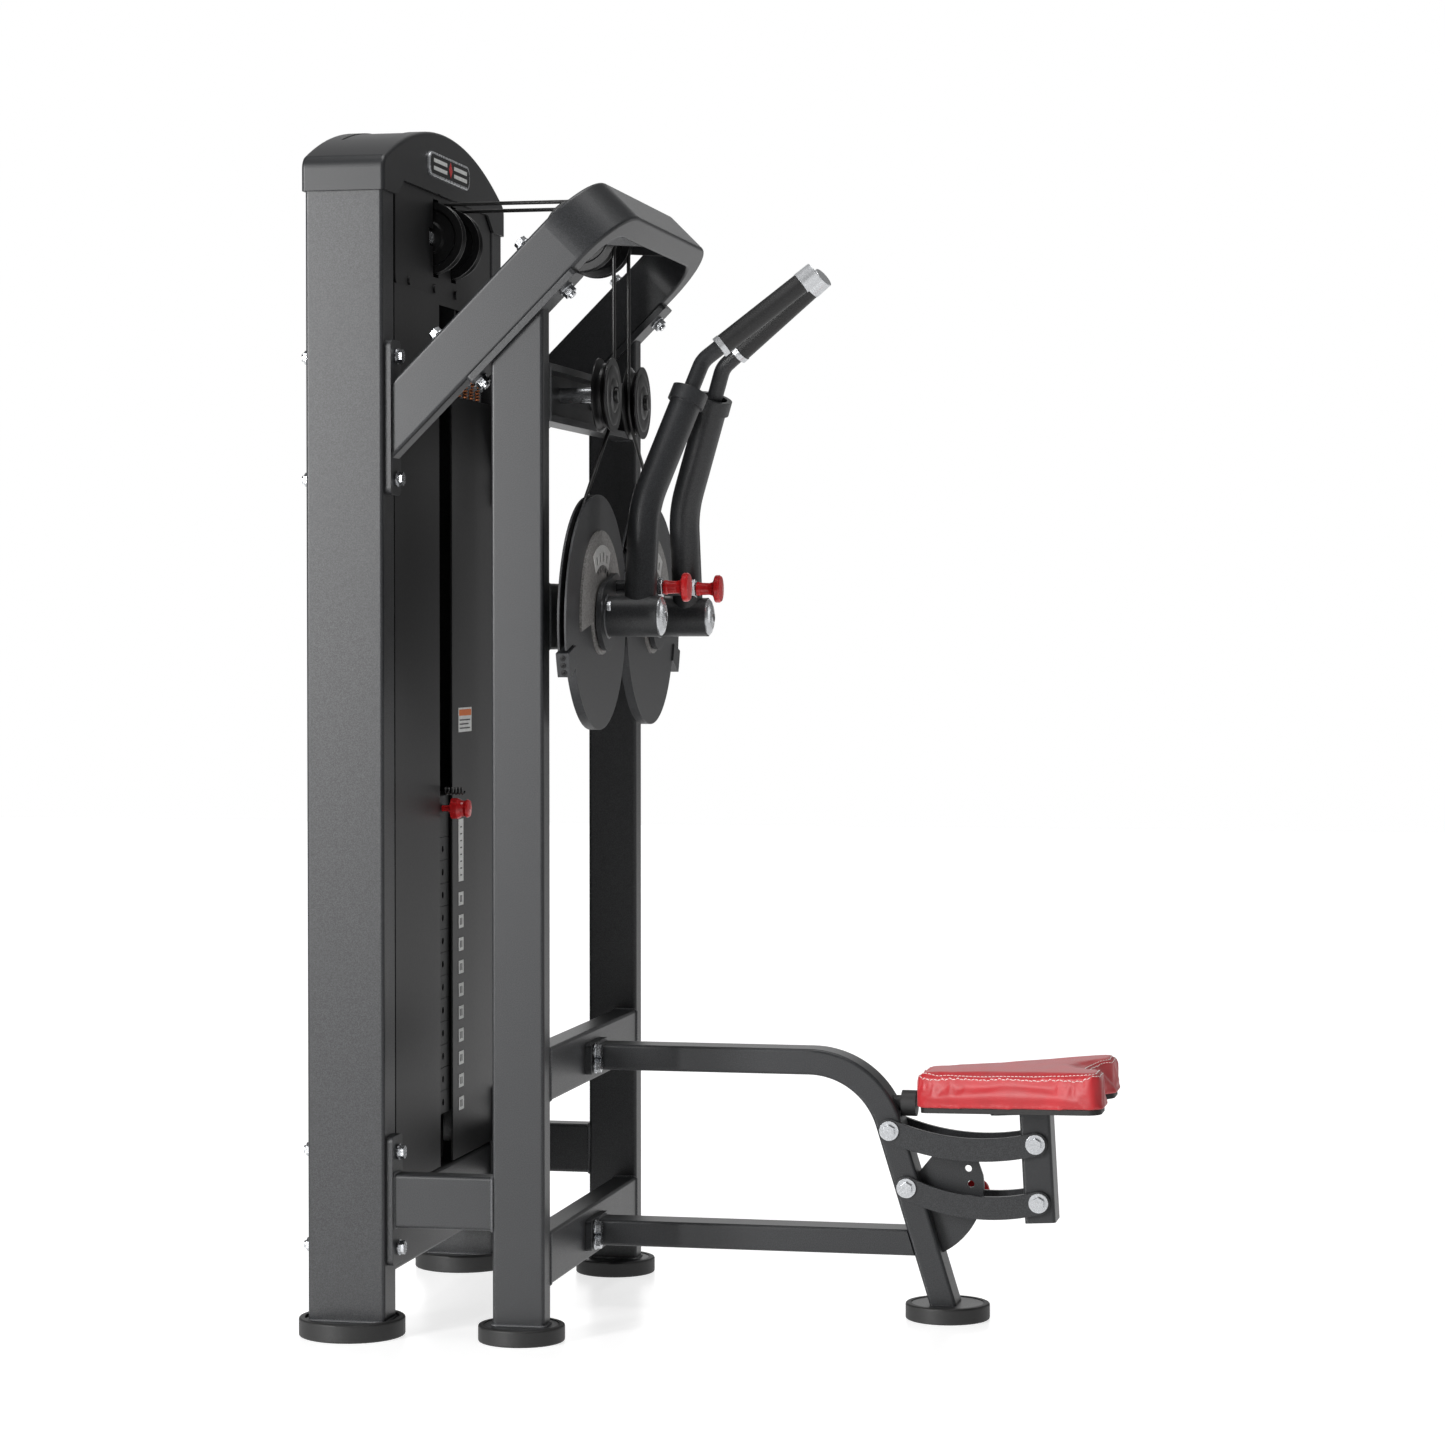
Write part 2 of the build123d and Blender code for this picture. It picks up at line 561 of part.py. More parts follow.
ARM_DIR = (Vector(*COLLAR) - Vector(*BEND_1)).normalized()
COLLAR_TOP = Vector(*COLLAR) + ARM_DIR * (COLLAR_H / 2)
BEND_2 = Vector(*COLLAR) + ARM_DIR * HANDLE_BEND


def arm(side):
    hub = (HUB_X0, side * HUB_Y, HUB_Z)
    base = (ARM_X, HUB_Y - 3, HUB_Z + 12)
    points = [mirrored(p, side) for p in (base, BEND_1, COLLAR_TOP)]
    path = FilletPolyline(*points, radius=ARM_BEND_R)
    section = Plane(origin=path @ 0, z_dir=path % 0)
    shape = sweep(section * Circle(ARM_R), path=path)
    along = mirrored(ARM_DIR, side)
    top = mirrored(COLLAR_TOP, side)
    shape += rod(top - along * COLLAR_H, along, COLLAR_R, COLLAR_H)
    shape += rod(hub, (1, 0, 0), HUB_R, HUB_X1 - HUB_X0)
    # the index bracket, a pear-shaped plate from the hub to the pop pin
    tilt = PIN_ANGLE
    bracket = Circle(52) + Pos(-INDEX_R * sin(radians(tilt)), INDEX_R * cos(radians(tilt))) * Circle(22)
    bracket = make_hull(bracket.edges())
    shape += slab(bracket, side, BRACKET_X0, BRACKET_X1)
    pin = (BRACKET_X1 - 1, side * PIN_Y, PIN_Z)
    shape += rod(pin, (1, 0, 0), 11, POP_STEM_X - BRACKET_X1 - 1)
    shape -= rod((BRACKET_X0 - 1, side * PIN_Y, PIN_Z), (1, 0, 0), POP_R + FIT, 100)
    shape -= rod((BRACKET_X0 - 5, side * HUB_Y, HUB_Z), (1, 0, 0), CAM_BORE, HUB_X1)
    # the bore of the upper tube, and in it the bearing of the handle
    depth = BUSH_DEPTH + BUSH_H + 20
    shape -= rod(top - along * depth, along, ARM_R - ARM_WALL, depth + 1)
    bush = pipe(top - along * (BUSH_DEPTH + BUSH_H), along, ARM_R - 1, HANDLE_R + FIT, BUSH_H)
    return shape + bush


def pop_pin(side):
    """The pull knob and its pin, which stops just clear of the index plate so the arm can turn."""
    start = (INDEX_FRONT + GAP, side * PIN_Y, PIN_Z)
    pin = rod(start, (1, 0, 0), POP_R, POP_STEM_X - start[0])
    outline = Polyline((0, 0), (11, 0), (11, 4), (10, 6), (9.5, 20), (11, 25), (16, 28), (21, 29.5),
                       (22, 31), (22, 36), (20, 39), (0, 40.5), close=True)
    knob = revolve(Plane.XZ * make_face(outline), Axis.Z)
    return pin + Plane(origin=(POP_STEM_X, side * PIN_Y, PIN_Z), z_dir=(1, 0, 0)) * knob


GRIP_START = 32
GRIP_END = GRIP_START + 184
RING_T = 9


def handle(side):
    """The bent inner tube that turns in the bearing of its arm."""
    foot = COLLAR_TOP - ARM_DIR * (BUSH_DEPTH + BUSH_H + 8)
    end = BEND_2 + Vector(*GRIP_DIR).normalized() * GRIP_END
    points = [mirrored(p, side) for p in (foot, BEND_2, end)]
    path = FilletPolyline(*points, radius=38)
    section = Plane(origin=path @ 0, z_dir=path % 0)
    return sweep(section * (Circle(HANDLE_R) - Circle(HANDLE_R - 2.5)), path=path)


def grip_parts(side):
    """The rubber grip, then its aluminium rings and end cap and the hub's end cap."""
    along = mirrored(Vector(*GRIP_DIR).normalized(), side)
    bend = mirrored(BEND_2, side)
    rubber_start = GRIP_START + RING_T
    rubber_length = GRIP_END - 25 - rubber_start
    rubber = pipe(bend + along * rubber_start, along, GRIP_R, HANDLE_R, rubber_length)
    ring = pipe(bend + along * GRIP_START, along, RING_R, HANDLE_R, RING_T)
    end_ring = pipe(bend + along * (GRIP_END - 25), along, RING_R, HANDLE_R, 25)
    end_cap = rod(bend + along * GRIP_END, along, RING_R, 3)
    end_cap = fillet(end_cap.faces().sort_by(Axis.Z)[-1].edges(), 1.2)
    hub = (HUB_X1 - 6, side * HUB_Y, HUB_Z)
    dome = rod(hub, (1, 0, 0), SHAFT_R + FIT, 6)
    profile = Polyline((0, 0), (29, 0), (29, 2), (26, 4.5), (19, 7), (10, 8.6), (0, 9), close=True)
    lid = revolve(Plane.XZ * make_face(profile), Axis.Z)
    dome += Plane(origin=(HUB_X1, side * HUB_Y, HUB_Z), z_dir=(1, 0, 0)) * lid
    return rubber, group(ring, end_ring + end_cap), dome


for name, side in (("left", -1), ("right", 1)):
    rubber, rings, dome = grip_parts(side)
    nodes["cam_" + name] = cam(side)
    nodes["index_plate_" + name] = index_plate(side)
    nodes["cam_cable_" + name] = wound_cable(side)
    nodes["arm_" + name] = arm(side)
    nodes["hub_cap_" + name] = dome
    nodes["pop_pin_" + name] = pop_pin(side)
    nodes["handle_" + name] = handle(side)
    nodes["grip_" + name] = rubber
    nodes["grip_rings_" + name] = rings

# ---- weight stack -----------------------------------------------------------------
STACK_BACK = STACK_FRONT - STACK_DEPTH
SELECTOR_BORE = SELECTOR_R + 1
STACK_BASE = FIRST_HOLE_Z - PLATE_PITCH / 2
HEAD_Z0 = FIRST_HOLE_Z + (PLATE_COUNT - 0.5) * PLATE_PITCH
HEAD_Z1 = HEAD_Z0 + HEAD_H
HEAD_PIN_Z = HEAD_Z0 + HEAD_H - 20


def stack_block(z0, z1, hole_z):
    """One plate of the stack, bored for the guide rods, the selector rod and the pin."""
    block = bx(STACK_BACK, STACK_FRONT, -STACK_HALF_W, STACK_HALF_W, z0, z1)
    block = fillet(block.edges().filter_by(Axis.Z), 8)
    for y in (-ROD_Y, ROD_Y):
        block -= rod((0, y, z0 - 1), (0, 0, 1), ROD_R + 1, z1 - z0 + 2)
    block -= rod((0, 0, z0 - 1), (0, 0, 1), SELECTOR_BORE, z1 - z0 + 2)
    return block - rod((0, 0, hole_z), (1, 0, 0), PIN_R + HOLE_GAP, STACK_FRONT + 1)


plates = []
for k in range(PLATE_COUNT):
    middle = FIRST_HOLE_Z + k * PLATE_PITCH
    plates.append(stack_block(middle - PLATE_PITCH / 2 + PLATE_GAP, middle + PLATE_PITCH / 2, middle))
nodes["weight_plates"] = group(*plates)

head = stack_block(HEAD_Z0 + PLATE_GAP, HEAD_Z1, HEAD_PIN_Z)
for y in (-CABLE_SPAN, CABLE_SPAN):
    head += rod((CABLE_X, y, HEAD_Z1), (0, 0, 1), 11, 6)
    head += rod((CABLE_X, y, HEAD_Z1 + 6), (0, 0, 1), 6, 30)
nodes["head_plate"] = head

selector = rod((0, 0, STACK_BASE + 4), (0, 0, 1), SELECTOR_R, HEAD_Z1 - STACK_BASE - 4)
for k in range(PLATE_COUNT):
    selector -= rod((-20, 0, FIRST_HOLE_Z + k * PLATE_PITCH), (1, 0, 0), PIN_R + HOLE_GAP, 40)
selector -= rod((-20, 0, HEAD_PIN_Z), (1, 0, 0), PIN_R + HOLE_GAP, 40)
selector += rod((0, 0, HEAD_Z1), (0, 0, 1), SELECTOR_BORE + 8, 5)
nodes["selector_rod"] = selector

pin_knob = Polyline(
    (0, 0), (12, 0), (16.5, 2), (16.5, 12), (13, 18), (12, 22), (14.5, 27), (13, 30), (0, 31), close=True)
knob = revolve(Plane.XZ * make_face(pin_knob), Axis.Z)
PIN_REACH = 68
knob = Plane(origin=(PIN_REACH, 0, HEAD_PIN_Z), z_dir=(1, 0, 0)) * knob
nodes["selector_pin"] = rod((-8, 0, HEAD_PIN_Z), (1, 0, 0), PIN_R, PIN_REACH + 8) + knob

CABLE_END_Z = HEAD_Z1 + 36
nodes["stack_cables"] = both(lambda side: rod(
    (CABLE_X, side * CABLE_SPAN, CABLE_END_Z), (0, 0, 1), CABLE_R, hoop_pulley_z - CABLE_END_Z))

ROD_LENGTH = UPPER_BEAM_Z0 + TOWER_WALL + 6 - LOWER_BEAM_TOP
nodes["guide_rods"] = both(lambda side: rod(
    (0, side * ROD_Y, LOWER_BEAM_TOP), (0, 0, 1), ROD_R, ROD_LENGTH))


# ---- covers, cap and labels of the tower ------------------------------------------
PANEL_T = 3
PANEL_BACK = TOWER_FRONT - PANEL_T
PANEL_Z0, PANEL_Z1 = 216, 1431
SLOT_HALF = 36
SHROUD_Z0, SHROUD_Z1 = 1570, TOWER_TOP + 4
SHROUD_SCREWS = (-200, -60, 60, 200)     # domed screws along its lower edge
CUT_HALF, CUT_TOP = 240, TOWER_TOP - 9


def front_cover(side):
    y0, y1 = sorted((side * SLOT_HALF, side * (TOWER_INNER - 2)))
    panel = bx(PANEL_BACK, PANEL_BACK + PANEL_T, y0, y1, PANEL_Z0, PANEL_Z1)
    # a lip folded back along the column
    lip0, lip1 = sorted((side * (TOWER_INNER - 2 - PANEL_T), side * (TOWER_INNER - 2)))
    return panel + bx(PANEL_BACK - 16, PANEL_BACK, lip0, lip1, PANEL_Z0, PANEL_Z1)


nodes["front_covers"] = both(front_cover)

REAR_X = -TOWER_FRONT + 2
rear = bx(REAR_X, REAR_X + PANEL_T, -TOWER_INNER + 2, TOWER_INNER - 2, PANEL_Z0, SHROUD_Z1)
for side in (-1, 1):
    lip0, lip1 = sorted((side * (TOWER_INNER - 2 - PANEL_T), side * (TOWER_INNER - 2)))
    rear += bx(REAR_X + PANEL_T, REAR_X + 18, lip0, lip1, PANEL_Z0, SHROUD_Z1)
nodes["rear_cover"] = rear

shroud_half = TOWER_INNER - 10
shroud = bx(TOWER_FRONT - 4, TOWER_FRONT - 1, -shroud_half, shroud_half, SHROUD_Z0, SHROUD_Z1)
shroud = fillet(shroud.edges().filter_by(Axis.X).group_by(Axis.Z)[0], 30)
for side in (-1, 1):
    slot_y, slot_half = side * CABLE_SPAN, PULLEY_W / 2 + 4
    shroud -= bx(TOWER_FRONT - 5, TOWER_FRONT, slot_y - slot_half, slot_y + slot_half,
                 hoop_pulley_z - PULLEY_R - 4, hoop_pulley_z + PULLEY_R + 3)
shroud -= bx(TOWER_FRONT - 5, TOWER_FRONT, -AXLE_END - 10, AXLE_END + 10,
             hoop_pulley_z - 14, hoop_pulley_z + 14)
for y in SHROUD_SCREWS:
    shroud += rod((TOWER_FRONT - 3, y, SHROUD_Z0 + 22), (1, 0, 0), 7, 5.5)
nodes["pulley_shroud"] = shroud


def cap_outline(width, base, radius):
    """The arched front view of the cap, drawn with Y across and Z up."""
    box = Pos(0, (base + CAP_TOP) / 2) * Rectangle(2 * width, CAP_TOP - base)
    arch = Pos(0, CAP_TOP - CAP_ARC_R) * Circle(radius)
    return box & arch


def cap_solid(width, base, radius, half_x, round_r):
    place = Plane(origin=(-half_x, 0, 0), x_dir=(0, 1, 0), z_dir=(1, 0, 0))
    shape = place * extrude(cap_outline(width, base, radius), 2 * half_x)
    shoulders = shape.edges().filter_by(Axis.X).group_by(Axis.Z)[-1]
    return fillet(shoulders, round_r)


CAP_X = TOWER_FRONT + GAP + CAP_WALL
CAP_Y = TOWER_SPAN + TOWER_Y / 2 + GAP + CAP_WALL
CAP_ARC_R = (CAP_Y ** 2 + CAP_DROP ** 2) / (2 * CAP_DROP)
cap = cap_solid(CAP_Y, CAP_BASE, CAP_ARC_R, CAP_X, 22)
top_edges = [edge for edge in cap.edges() if edge.center().Z > CAP_BASE + 2
             and abs(abs(edge.center().X) - CAP_X) < 0.1]
cap = fillet(top_edges, 6)
cap -= cap_solid(CAP_Y - CAP_WALL, CAP_BASE - 1, CAP_ARC_R - CAP_WALL, CAP_X - CAP_WALL, 18)
CUT_FOOT = CUT_HALF + 35
cut = Polyline(
    (-CUT_FOOT, CAP_BASE - 1), (-CUT_FOOT, CAP_BASE), (-CUT_HALF, CUT_TOP),
    (CUT_HALF, CUT_TOP), (CUT_FOOT, CAP_BASE), (CUT_FOOT, CAP_BASE - 1), close=True)
cap_front = Plane(origin=(0, 0, 0), x_dir=(0, 1, 0), z_dir=(1, 0, 0))
window = cap_front * extrude(make_face(cut), CAP_X + 5)
upper = window.edges().filter_by(Axis.X).group_by(Axis.Z)[-1]
cap -= fillet(upper, 14)
cap -= Plane(origin=(-38, 0, 0), x_dir=(0, 1, 0), z_dir=(1, 0, 0)) * extrude(
    (Pos(0, CAP_TOP - CAP_ARC_R) * (Circle(CAP_ARC_R + 5) - Circle(CAP_ARC_R - 1.2)))
    & (Pos(0, CAP_TOP) * Rectangle(460, 120)), 76)
for y in (-CABLE_SPAN, CABLE_SPAN):
    cap -= bx(0, CAP_X + 5, y - CABLE_R - 3, y + CABLE_R + 3, CAP_BASE - 5, CUT_TOP + 1)
nodes["top_cap"] = cap

BADGE_W, BADGE_H, BADGE_T = 230, 38, 4
badge = Plane(origin=(CAP_X, 0, CAP_TOP - 55), x_dir=(0, 1, 0), z_dir=(1, 0, 0)) * extrude(
    RectangleRounded(BADGE_W, BADGE_H, BADGE_H / 2 - 3), BADGE_T)
nodes["cap_badge"] = fillet(badge.faces().sort_by(Axis.X)[-1].edges(), 1.5)

LABEL_X = PANEL_BACK + PANEL_T
LABEL_Y, LABEL_W, LABEL_H = 84, 28, 21
LABEL_Z, LABEL_COUNT = 301.6, 10
START_LABEL_Z, START_LABEL_H = 708, 100          # the tall label above the numbered ones
CARE_Y, CARE_Z, CARE_W, CARE_H = 109.5, 916.5, 77, 39


def label(y, z, width, height):
    return bx(LABEL_X, LABEL_X + 0.6, y - width / 2, y + width / 2, z - height / 2, z + height / 2)


labels = [label(LABEL_Y, LABEL_Z + PLATE_PITCH * k, LABEL_W, LABEL_H) for k in range(LABEL_COUNT)]
labels.append(label(LABEL_Y, START_LABEL_Z, LABEL_W, START_LABEL_H))
labels.append(label(CARE_Y, CARE_Z, CARE_W, CARE_H))
nodes["cover_labels"] = group(*labels)

BUMPER_Z = LOWER_BEAM_TOP


def stack_bumper(side):
    return pipe((0, side * ROD_Y, BUMPER_Z), (0, 0, 1), 26, ROD_R + 1, STACK_BASE + PLATE_GAP - BUMPER_Z)


# ---- seat frame -------------------------------------------------------------------
POST_R = 130
post_slope = (UPPER_POST[0] - LOWER_POST[0]) / (UPPER_POST[1] - LOWER_POST[1])


def post_x(z):
    """Where the leaning part of the post's centre line is at a height."""
    return LOWER_POST[0] + (z - LOWER_POST[1]) * post_slope


END_PLATE_T = 10
TUBE_START = LEG_FRONT + END_PLATE_T


def flat_tube(path):
    section = Plane(origin=path @ 0, x_dir=(0, 1, 0), z_dir=path % 0)
    ring = RectangleRounded(SEAT_TUBE_W, SEAT_TUBE_H, TUBE_R) - RectangleRounded(
        SEAT_TUBE_W - 7, SEAT_TUBE_H - 7, TUBE_R - 2)
    return sweep(section * ring, path=path)


def end_plate(z):
    plate = bx(LEG_FRONT, TUBE_START, -68, 44, z - 24, z + 24)
    plate = fillet(plate.edges().filter_by(Axis.X), 6)
    for dz in (-END_BOLT_DZ, END_BOLT_DZ):
        plate -= rod((LEG_FRONT - 1, END_BOLT_Y, z + dz), (1, 0, 0), BOLT_R + HOLE_GAP, END_PLATE_T + 2)
    return plate


tail_x = post_x(FRAME_BASE) + post_slope * -30
post_path = FilletPolyline(
    (TUBE_START, 0, SEAT_Z), (post_x(SEAT_Z), 0, SEAT_Z), (tail_x, 0, FRAME_BASE - 30), radius=POST_R)
post = flat_tube(post_path) - bx(600, 1100, -200, 200, -100, FRAME_BASE)
post += foot_plate(SEAT_FOOT_X, 0, FOOT_R_FRONT)
PIVOT_R = 8
for x, z in (UPPER_POST, LOWER_POST):
    post -= rod((x, -60, z), (0, 1, 0), PIVOT_R + FIT, 120)
nodes["seat_post"] = post + end_plate(SEAT_Z)

half_h = SEAT_TUBE_H / 2
lower_tube = beam_x(0, LOWER_TUBE_Z - half_h, LOWER_TUBE_Z + half_h, TUBE_START,
                    post_x(LOWER_TUBE_Z) + 60, SEAT_TUBE_W, 3.5)
POST_HALF_X = half_h / cos(atan2(-post_slope, 1))      # half the leaning tube, measured level
cutter = Plane(origin=(post_x(LOWER_TUBE_Z) - POST_HALF_X, 0, LOWER_TUBE_Z), x_dir=(0, 1, 0),
               z_dir=Vector(1, 0, -post_slope).normalized())
lower_tube -= cutter * Pos(0, 0, 200) * Box(200, 600, 400)
nodes["seat_lower_tube"] = lower_tube + end_plate(LOWER_TUBE_Z)

# index sector between the links, on the back of the post
SECTOR_R, SECTOR_T = 115, 8
SECTOR_HOLE_R, SECTOR_PITCH = 95, LINK_TRAVEL / 2
SEAT_PIN_ANGLE = -12


def link_plane(y):
    """A plane along Y = y whose own axes are X and Z."""
    return Plane(origin=(0, y, 0), x_dir=(1, 0, 0), z_dir=(0, -1, 0))


cx, cz = LOWER_POST
fan = Pos(cx, cz) * Circle(SECTOR_R) - Pos(cx - 100 + 14, cz) * Rectangle(200, 400)
edge = Polyline(
    (cx + 14, cz + 20), (cx + 40, cz + 52), (cx + 75, cz + 74), (cx + 102, cz + 50), (cx + 120, cz),
    (cx + 120, cz - 130), (cx + 14, cz - 130), close=True)
fan = fan & make_face(edge)
back = cx + POST_HALF_X
lean = Polyline(
    (back + post_slope * 120, cz + 120), (back + 300, cz + 120), (back + 300, cz - 130),
    (back - post_slope * 130, cz - 130), close=True)
fan = fan & make_face(lean)
for i in range(3):
    a = radians(SEAT_PIN_ANGLE + i * SECTOR_PITCH)
    fan -= Pos(cx + SECTOR_HOLE_R * cos(a), cz + SECTOR_HOLE_R * sin(a)) * Circle(5.5)
nodes["seat_sector"] = link_plane(SECTOR_T / 2) * extrude(fan, SECTOR_T)

# rubber stop behind the seat pad
stop_z = 331
stop_x = post_x(stop_z) + POST_HALF_X
bumper = rod((stop_x + 6, 0, stop_z), (1, 0, 0), 20, SEAT_X0 - 5 - stop_x - 6)
bumper += rod((stop_x - 12, 0, stop_z), (1, 0, 0), 12, 30)
bumper -= flat_tube(post_path) + bx(stop_x - 60, stop_x - 10, -25, 25, stop_z - 30, stop_z + 30)
bumper = max(bumper.solids(), key=lambda solid: solid.volume)
nodes["rubber_bumpers"] = group(stack_bumper(-1), stack_bumper(1), bumper)


# ---- seat linkage -----------------------------------------------------------------
LINK_Y = SEAT_TUBE_W / 2 + 0.6


def link(first, second, bores):
    """A curved flat link between two pivots, sagging below the straight line."""
    a, b = Vector(*first), Vector(*second)
    along = (b - a).normalized()
    down = Vector(along.Y, -along.X)
    middle = (a + b) * 0.5 + down * LINK_SAG
    chord = (b - a).length
    radius = (chord ** 2 / 4 + LINK_SAG ** 2) / (2 * LINK_SAG)
    center = middle - down * radius
    half = LINK_W / 2
    band = Pos(center.X, center.Y) * (Circle(radius + half) - Circle(radius - half))
    past_a, past_b = a + (a - center) * 0.5, b + (b - center) * 0.5
    wedge = make_face(Polyline(center, past_a, middle + down * 120, past_b, close=True))
    face = (band & wedge) + Pos(a.X, a.Y) * Circle(half) + Pos(b.X, b.Y) * Circle(half)
    for point, bore in zip((a, b), bores):
        face -= Pos(point.X, point.Y) * Circle(bore)
    return face


def link_pair(first, second, bores):
    face = link(first, second, bores)
    near = link_plane(-LINK_Y) * extrude(face, LINK_T)
    far = link_plane(LINK_Y + LINK_T) * extrude(face, LINK_T)
    return near, far


pivot_bore = PIVOT_R + FIT
near, far = link_pair(UPPER_POST, UPPER_SEAT, (pivot_bore, PIVOT_R + OPEN_PIVOT_GAP))
nodes["upper_links"] = group(near, far)

near, far = link_pair(LOWER_POST, LOWER_SEAT, (pivot_bore, pivot_bore))
pin_a = radians(SEAT_PIN_ANGLE)
SEAT_PIN_X, SEAT_PIN_Z = cx + SECTOR_HOLE_R * cos(pin_a), cz + SECTOR_HOLE_R * sin(pin_a)
PIN_HOUSING = 26
far += rod((SEAT_PIN_X, LINK_Y + LINK_T - 1, SEAT_PIN_Z), (0, 1, 0), 11, PIN_HOUSING + 1)
far -= rod((SEAT_PIN_X, 0, SEAT_PIN_Z), (0, 1, 0), 5 + FIT, 100)
nodes["lower_links"] = group(near, far)

pin_end = LINK_Y + LINK_T + PIN_HOUSING + 1
knob_outline = Polyline(
    (0, 0), (9, 0), (9, 8), (13, 12), (19, 14), (19.5, 16), (19.5, 22), (17, 25), (0, 26.5), close=True)
seat_knob = Plane(origin=(SEAT_PIN_X, pin_end, SEAT_PIN_Z), z_dir=(0, 1, 0)) * revolve(
    Plane.XZ * make_face(knob_outline), Axis.Z)
pin_start = SECTOR_T / 2 + GAP                    # just clear of the sector
nodes["seat_pin"] = rod((SEAT_PIN_X, pin_start, SEAT_PIN_Z), (0, 1, 0), 5, pin_end - pin_start) + seat_knob

# carrier: an upright tube between the links, tilted with the seat
CARRIER_W, CARRIER_D = 60, 47
tilt = radians(SEAT_TILT)
seat_up = Vector(-sin(tilt), 0, cos(tilt))
seat_along = Vector(cos(tilt), 0, sin(tilt))
low_mid = Vector(LOWER_SEAT[0], 0, LOWER_SEAT[1])
pad_front = Vector(SEAT_X0, 0, PAD_BASE_Z)
board_drop = (low_mid - pad_front).dot(seat_up)
carrier_base = low_mid - seat_up * 32
carrier_len = -board_drop + 32
seat_plane = Plane(origin=carrier_base, x_dir=(0, 1, 0), z_dir=seat_up)
outer = RectangleRounded(CARRIER_W, CARRIER_D, TUBE_R)
inner = RectangleRounded(CARRIER_W - 7, CARRIER_D - 7, TUBE_R - 2)
carrier = seat_plane * extrude(outer - inner, carrier_len)
corner_cut = Plane(origin=carrier_base + seat_along * (CARRIER_D / 2), x_dir=(0, 1, 0),
                   z_dir=(seat_up * -1 + seat_along).normalized())
carrier -= corner_cut * Pos(0, 0, 6) * Box(100, 60, 12)
for x, z in (UPPER_SEAT, LOWER_SEAT):
    carrier -= rod((x, -60, z), (0, 1, 0), PIVOT_R, 120)
flange = seat_plane.offset(carrier_len - 6) * extrude(RectangleRounded(110, 130, 10), 6)
nodes["seat_carrier"] = carrier + flange


def pad_face(grow):
    """The seat's plan: a trapezoid with round corners and a hollow in its rear edge."""
    length = (SEAT_X1 - SEAT_X0) / cos(tilt) - 6
    front, rear = PAD_FRONT_W / 2 + grow, PAD_REAR_W / 2 + grow
    plan = make_face(Polyline(
        (-grow, -front), (length + grow, -rear), (length + grow, rear), (-grow, front), close=True))
    plan = fillet(plan.vertices(), 22 + grow)
    notch = Pos(length + 62, 0) * Circle(92 - grow)
    plan -= notch
    sharp = [v for v in plan.vertices() if abs(v.X - length - grow) < 3 and abs(v.Y) < rear - 5]
    return fillet(sharp, 20) if sharp else plan


seat_base = Plane(origin=pad_front, x_dir=seat_along, z_dir=seat_up)
nodes["seat_board"] = seat_base * extrude(pad_face(-6), BOARD_T)
nodes["seat_pad"] = seat_base.offset(BOARD_T) * extrude(pad_face(0), PAD_T - 0.5)

# ---- fasteners --------------------------------------------------------------------
def pivot_pin(x, z):
    """A pivot pin right through a link pair, with a washer and a bolt head on each side."""
    end = LINK_Y + LINK_T
    pin = rod((x, -end, z), (0, 1, 0), PIVOT_R, 2 * end)
    for y, direction in ((-end, -1), (end, 1)):
        pin += rod((x, y + direction * 0.4, z), (0, direction, 0), 15, 2.5)
        pin += rod((x, y, z), (0, direction, 0), PIVOT_R, 3)
        head = Plane(origin=(x, y + direction * 2.9, z), z_dir=(0, direction, 0))
        pin += head * extrude(RegularPolygon(10, 6), 6)
    return pin


bolts = []
REAR_BOLT = TOWER_X + FLANGE_X - TOWER_FRONT      # grip of a bolt right through a column
for side in (-1, 1):
    y = side * LEG_SPAN
    for z in FLANGE_BOLTS + RAIL_BOLTS:
        bolts.append(hex_bolt((FLANGE_X + 2, y, z), (-1, 0, 0), BOLT_R, REAR_BOLT + 2))
    for x in SADDLE_BOLTS:
        top = Vector(x, y, x + HOOP_MID) + OUT * (LEG_W / 2 + 2)
        bolts.append(hex_bolt(top, OUT * -1, BOLT_R, LEG_W + SADDLE_T + 2))
for z in (SEAT_Z, LOWER_TUBE_Z):
    for dz in (-END_BOLT_DZ, END_BOLT_DZ):
        start = (TUBE_START + 2, END_BOLT_Y, z + dz)
        bolts.append(hex_bolt(start, (-1, 0, 0), BOLT_R, END_PLATE_T + 2 + LEG_WALL, nut=False))
nodes["frame_bolts"] = group(*bolts, pivot_pin(*UPPER_POST), pivot_pin(*LOWER_POST))


nodes["seat_pivots"] = group(pivot_pin(*UPPER_SEAT), pivot_pin(*LOWER_SEAT))

# ---- place and write --------------------------------------------------------------
boxes = [shape.bounding_box() for shape in nodes.values()]
SHIFT_X = -(min(box.min.X for box in boxes) + max(box.max.X for box in boxes)) / 2
print("shift", SHIFT_X, "top", max(box.max.Z for box in boxes), "nodes", len(nodes))
for name, shape in nodes.items():
    export_step(Pos(SHIFT_X, 0, 0) * shape, f"parts/{name}.step")
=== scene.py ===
# %% [markdown]
# # A lat pulldown machine, dressed for a studio picture
# The steel, pulleys and pads arrive from CAD with their true sizes and never move here.
# This lesson gives them finishes, swaps the plain seat block for an upholstered one, and
# adds the small things that a fitter or a welder leaves: beads, screws, labels, a badge.

# %% Load the frame
import json
from math import cos, pi, sin

import bmesh
import bpy
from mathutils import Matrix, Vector
from mathutils.bvhtree import BVHTree


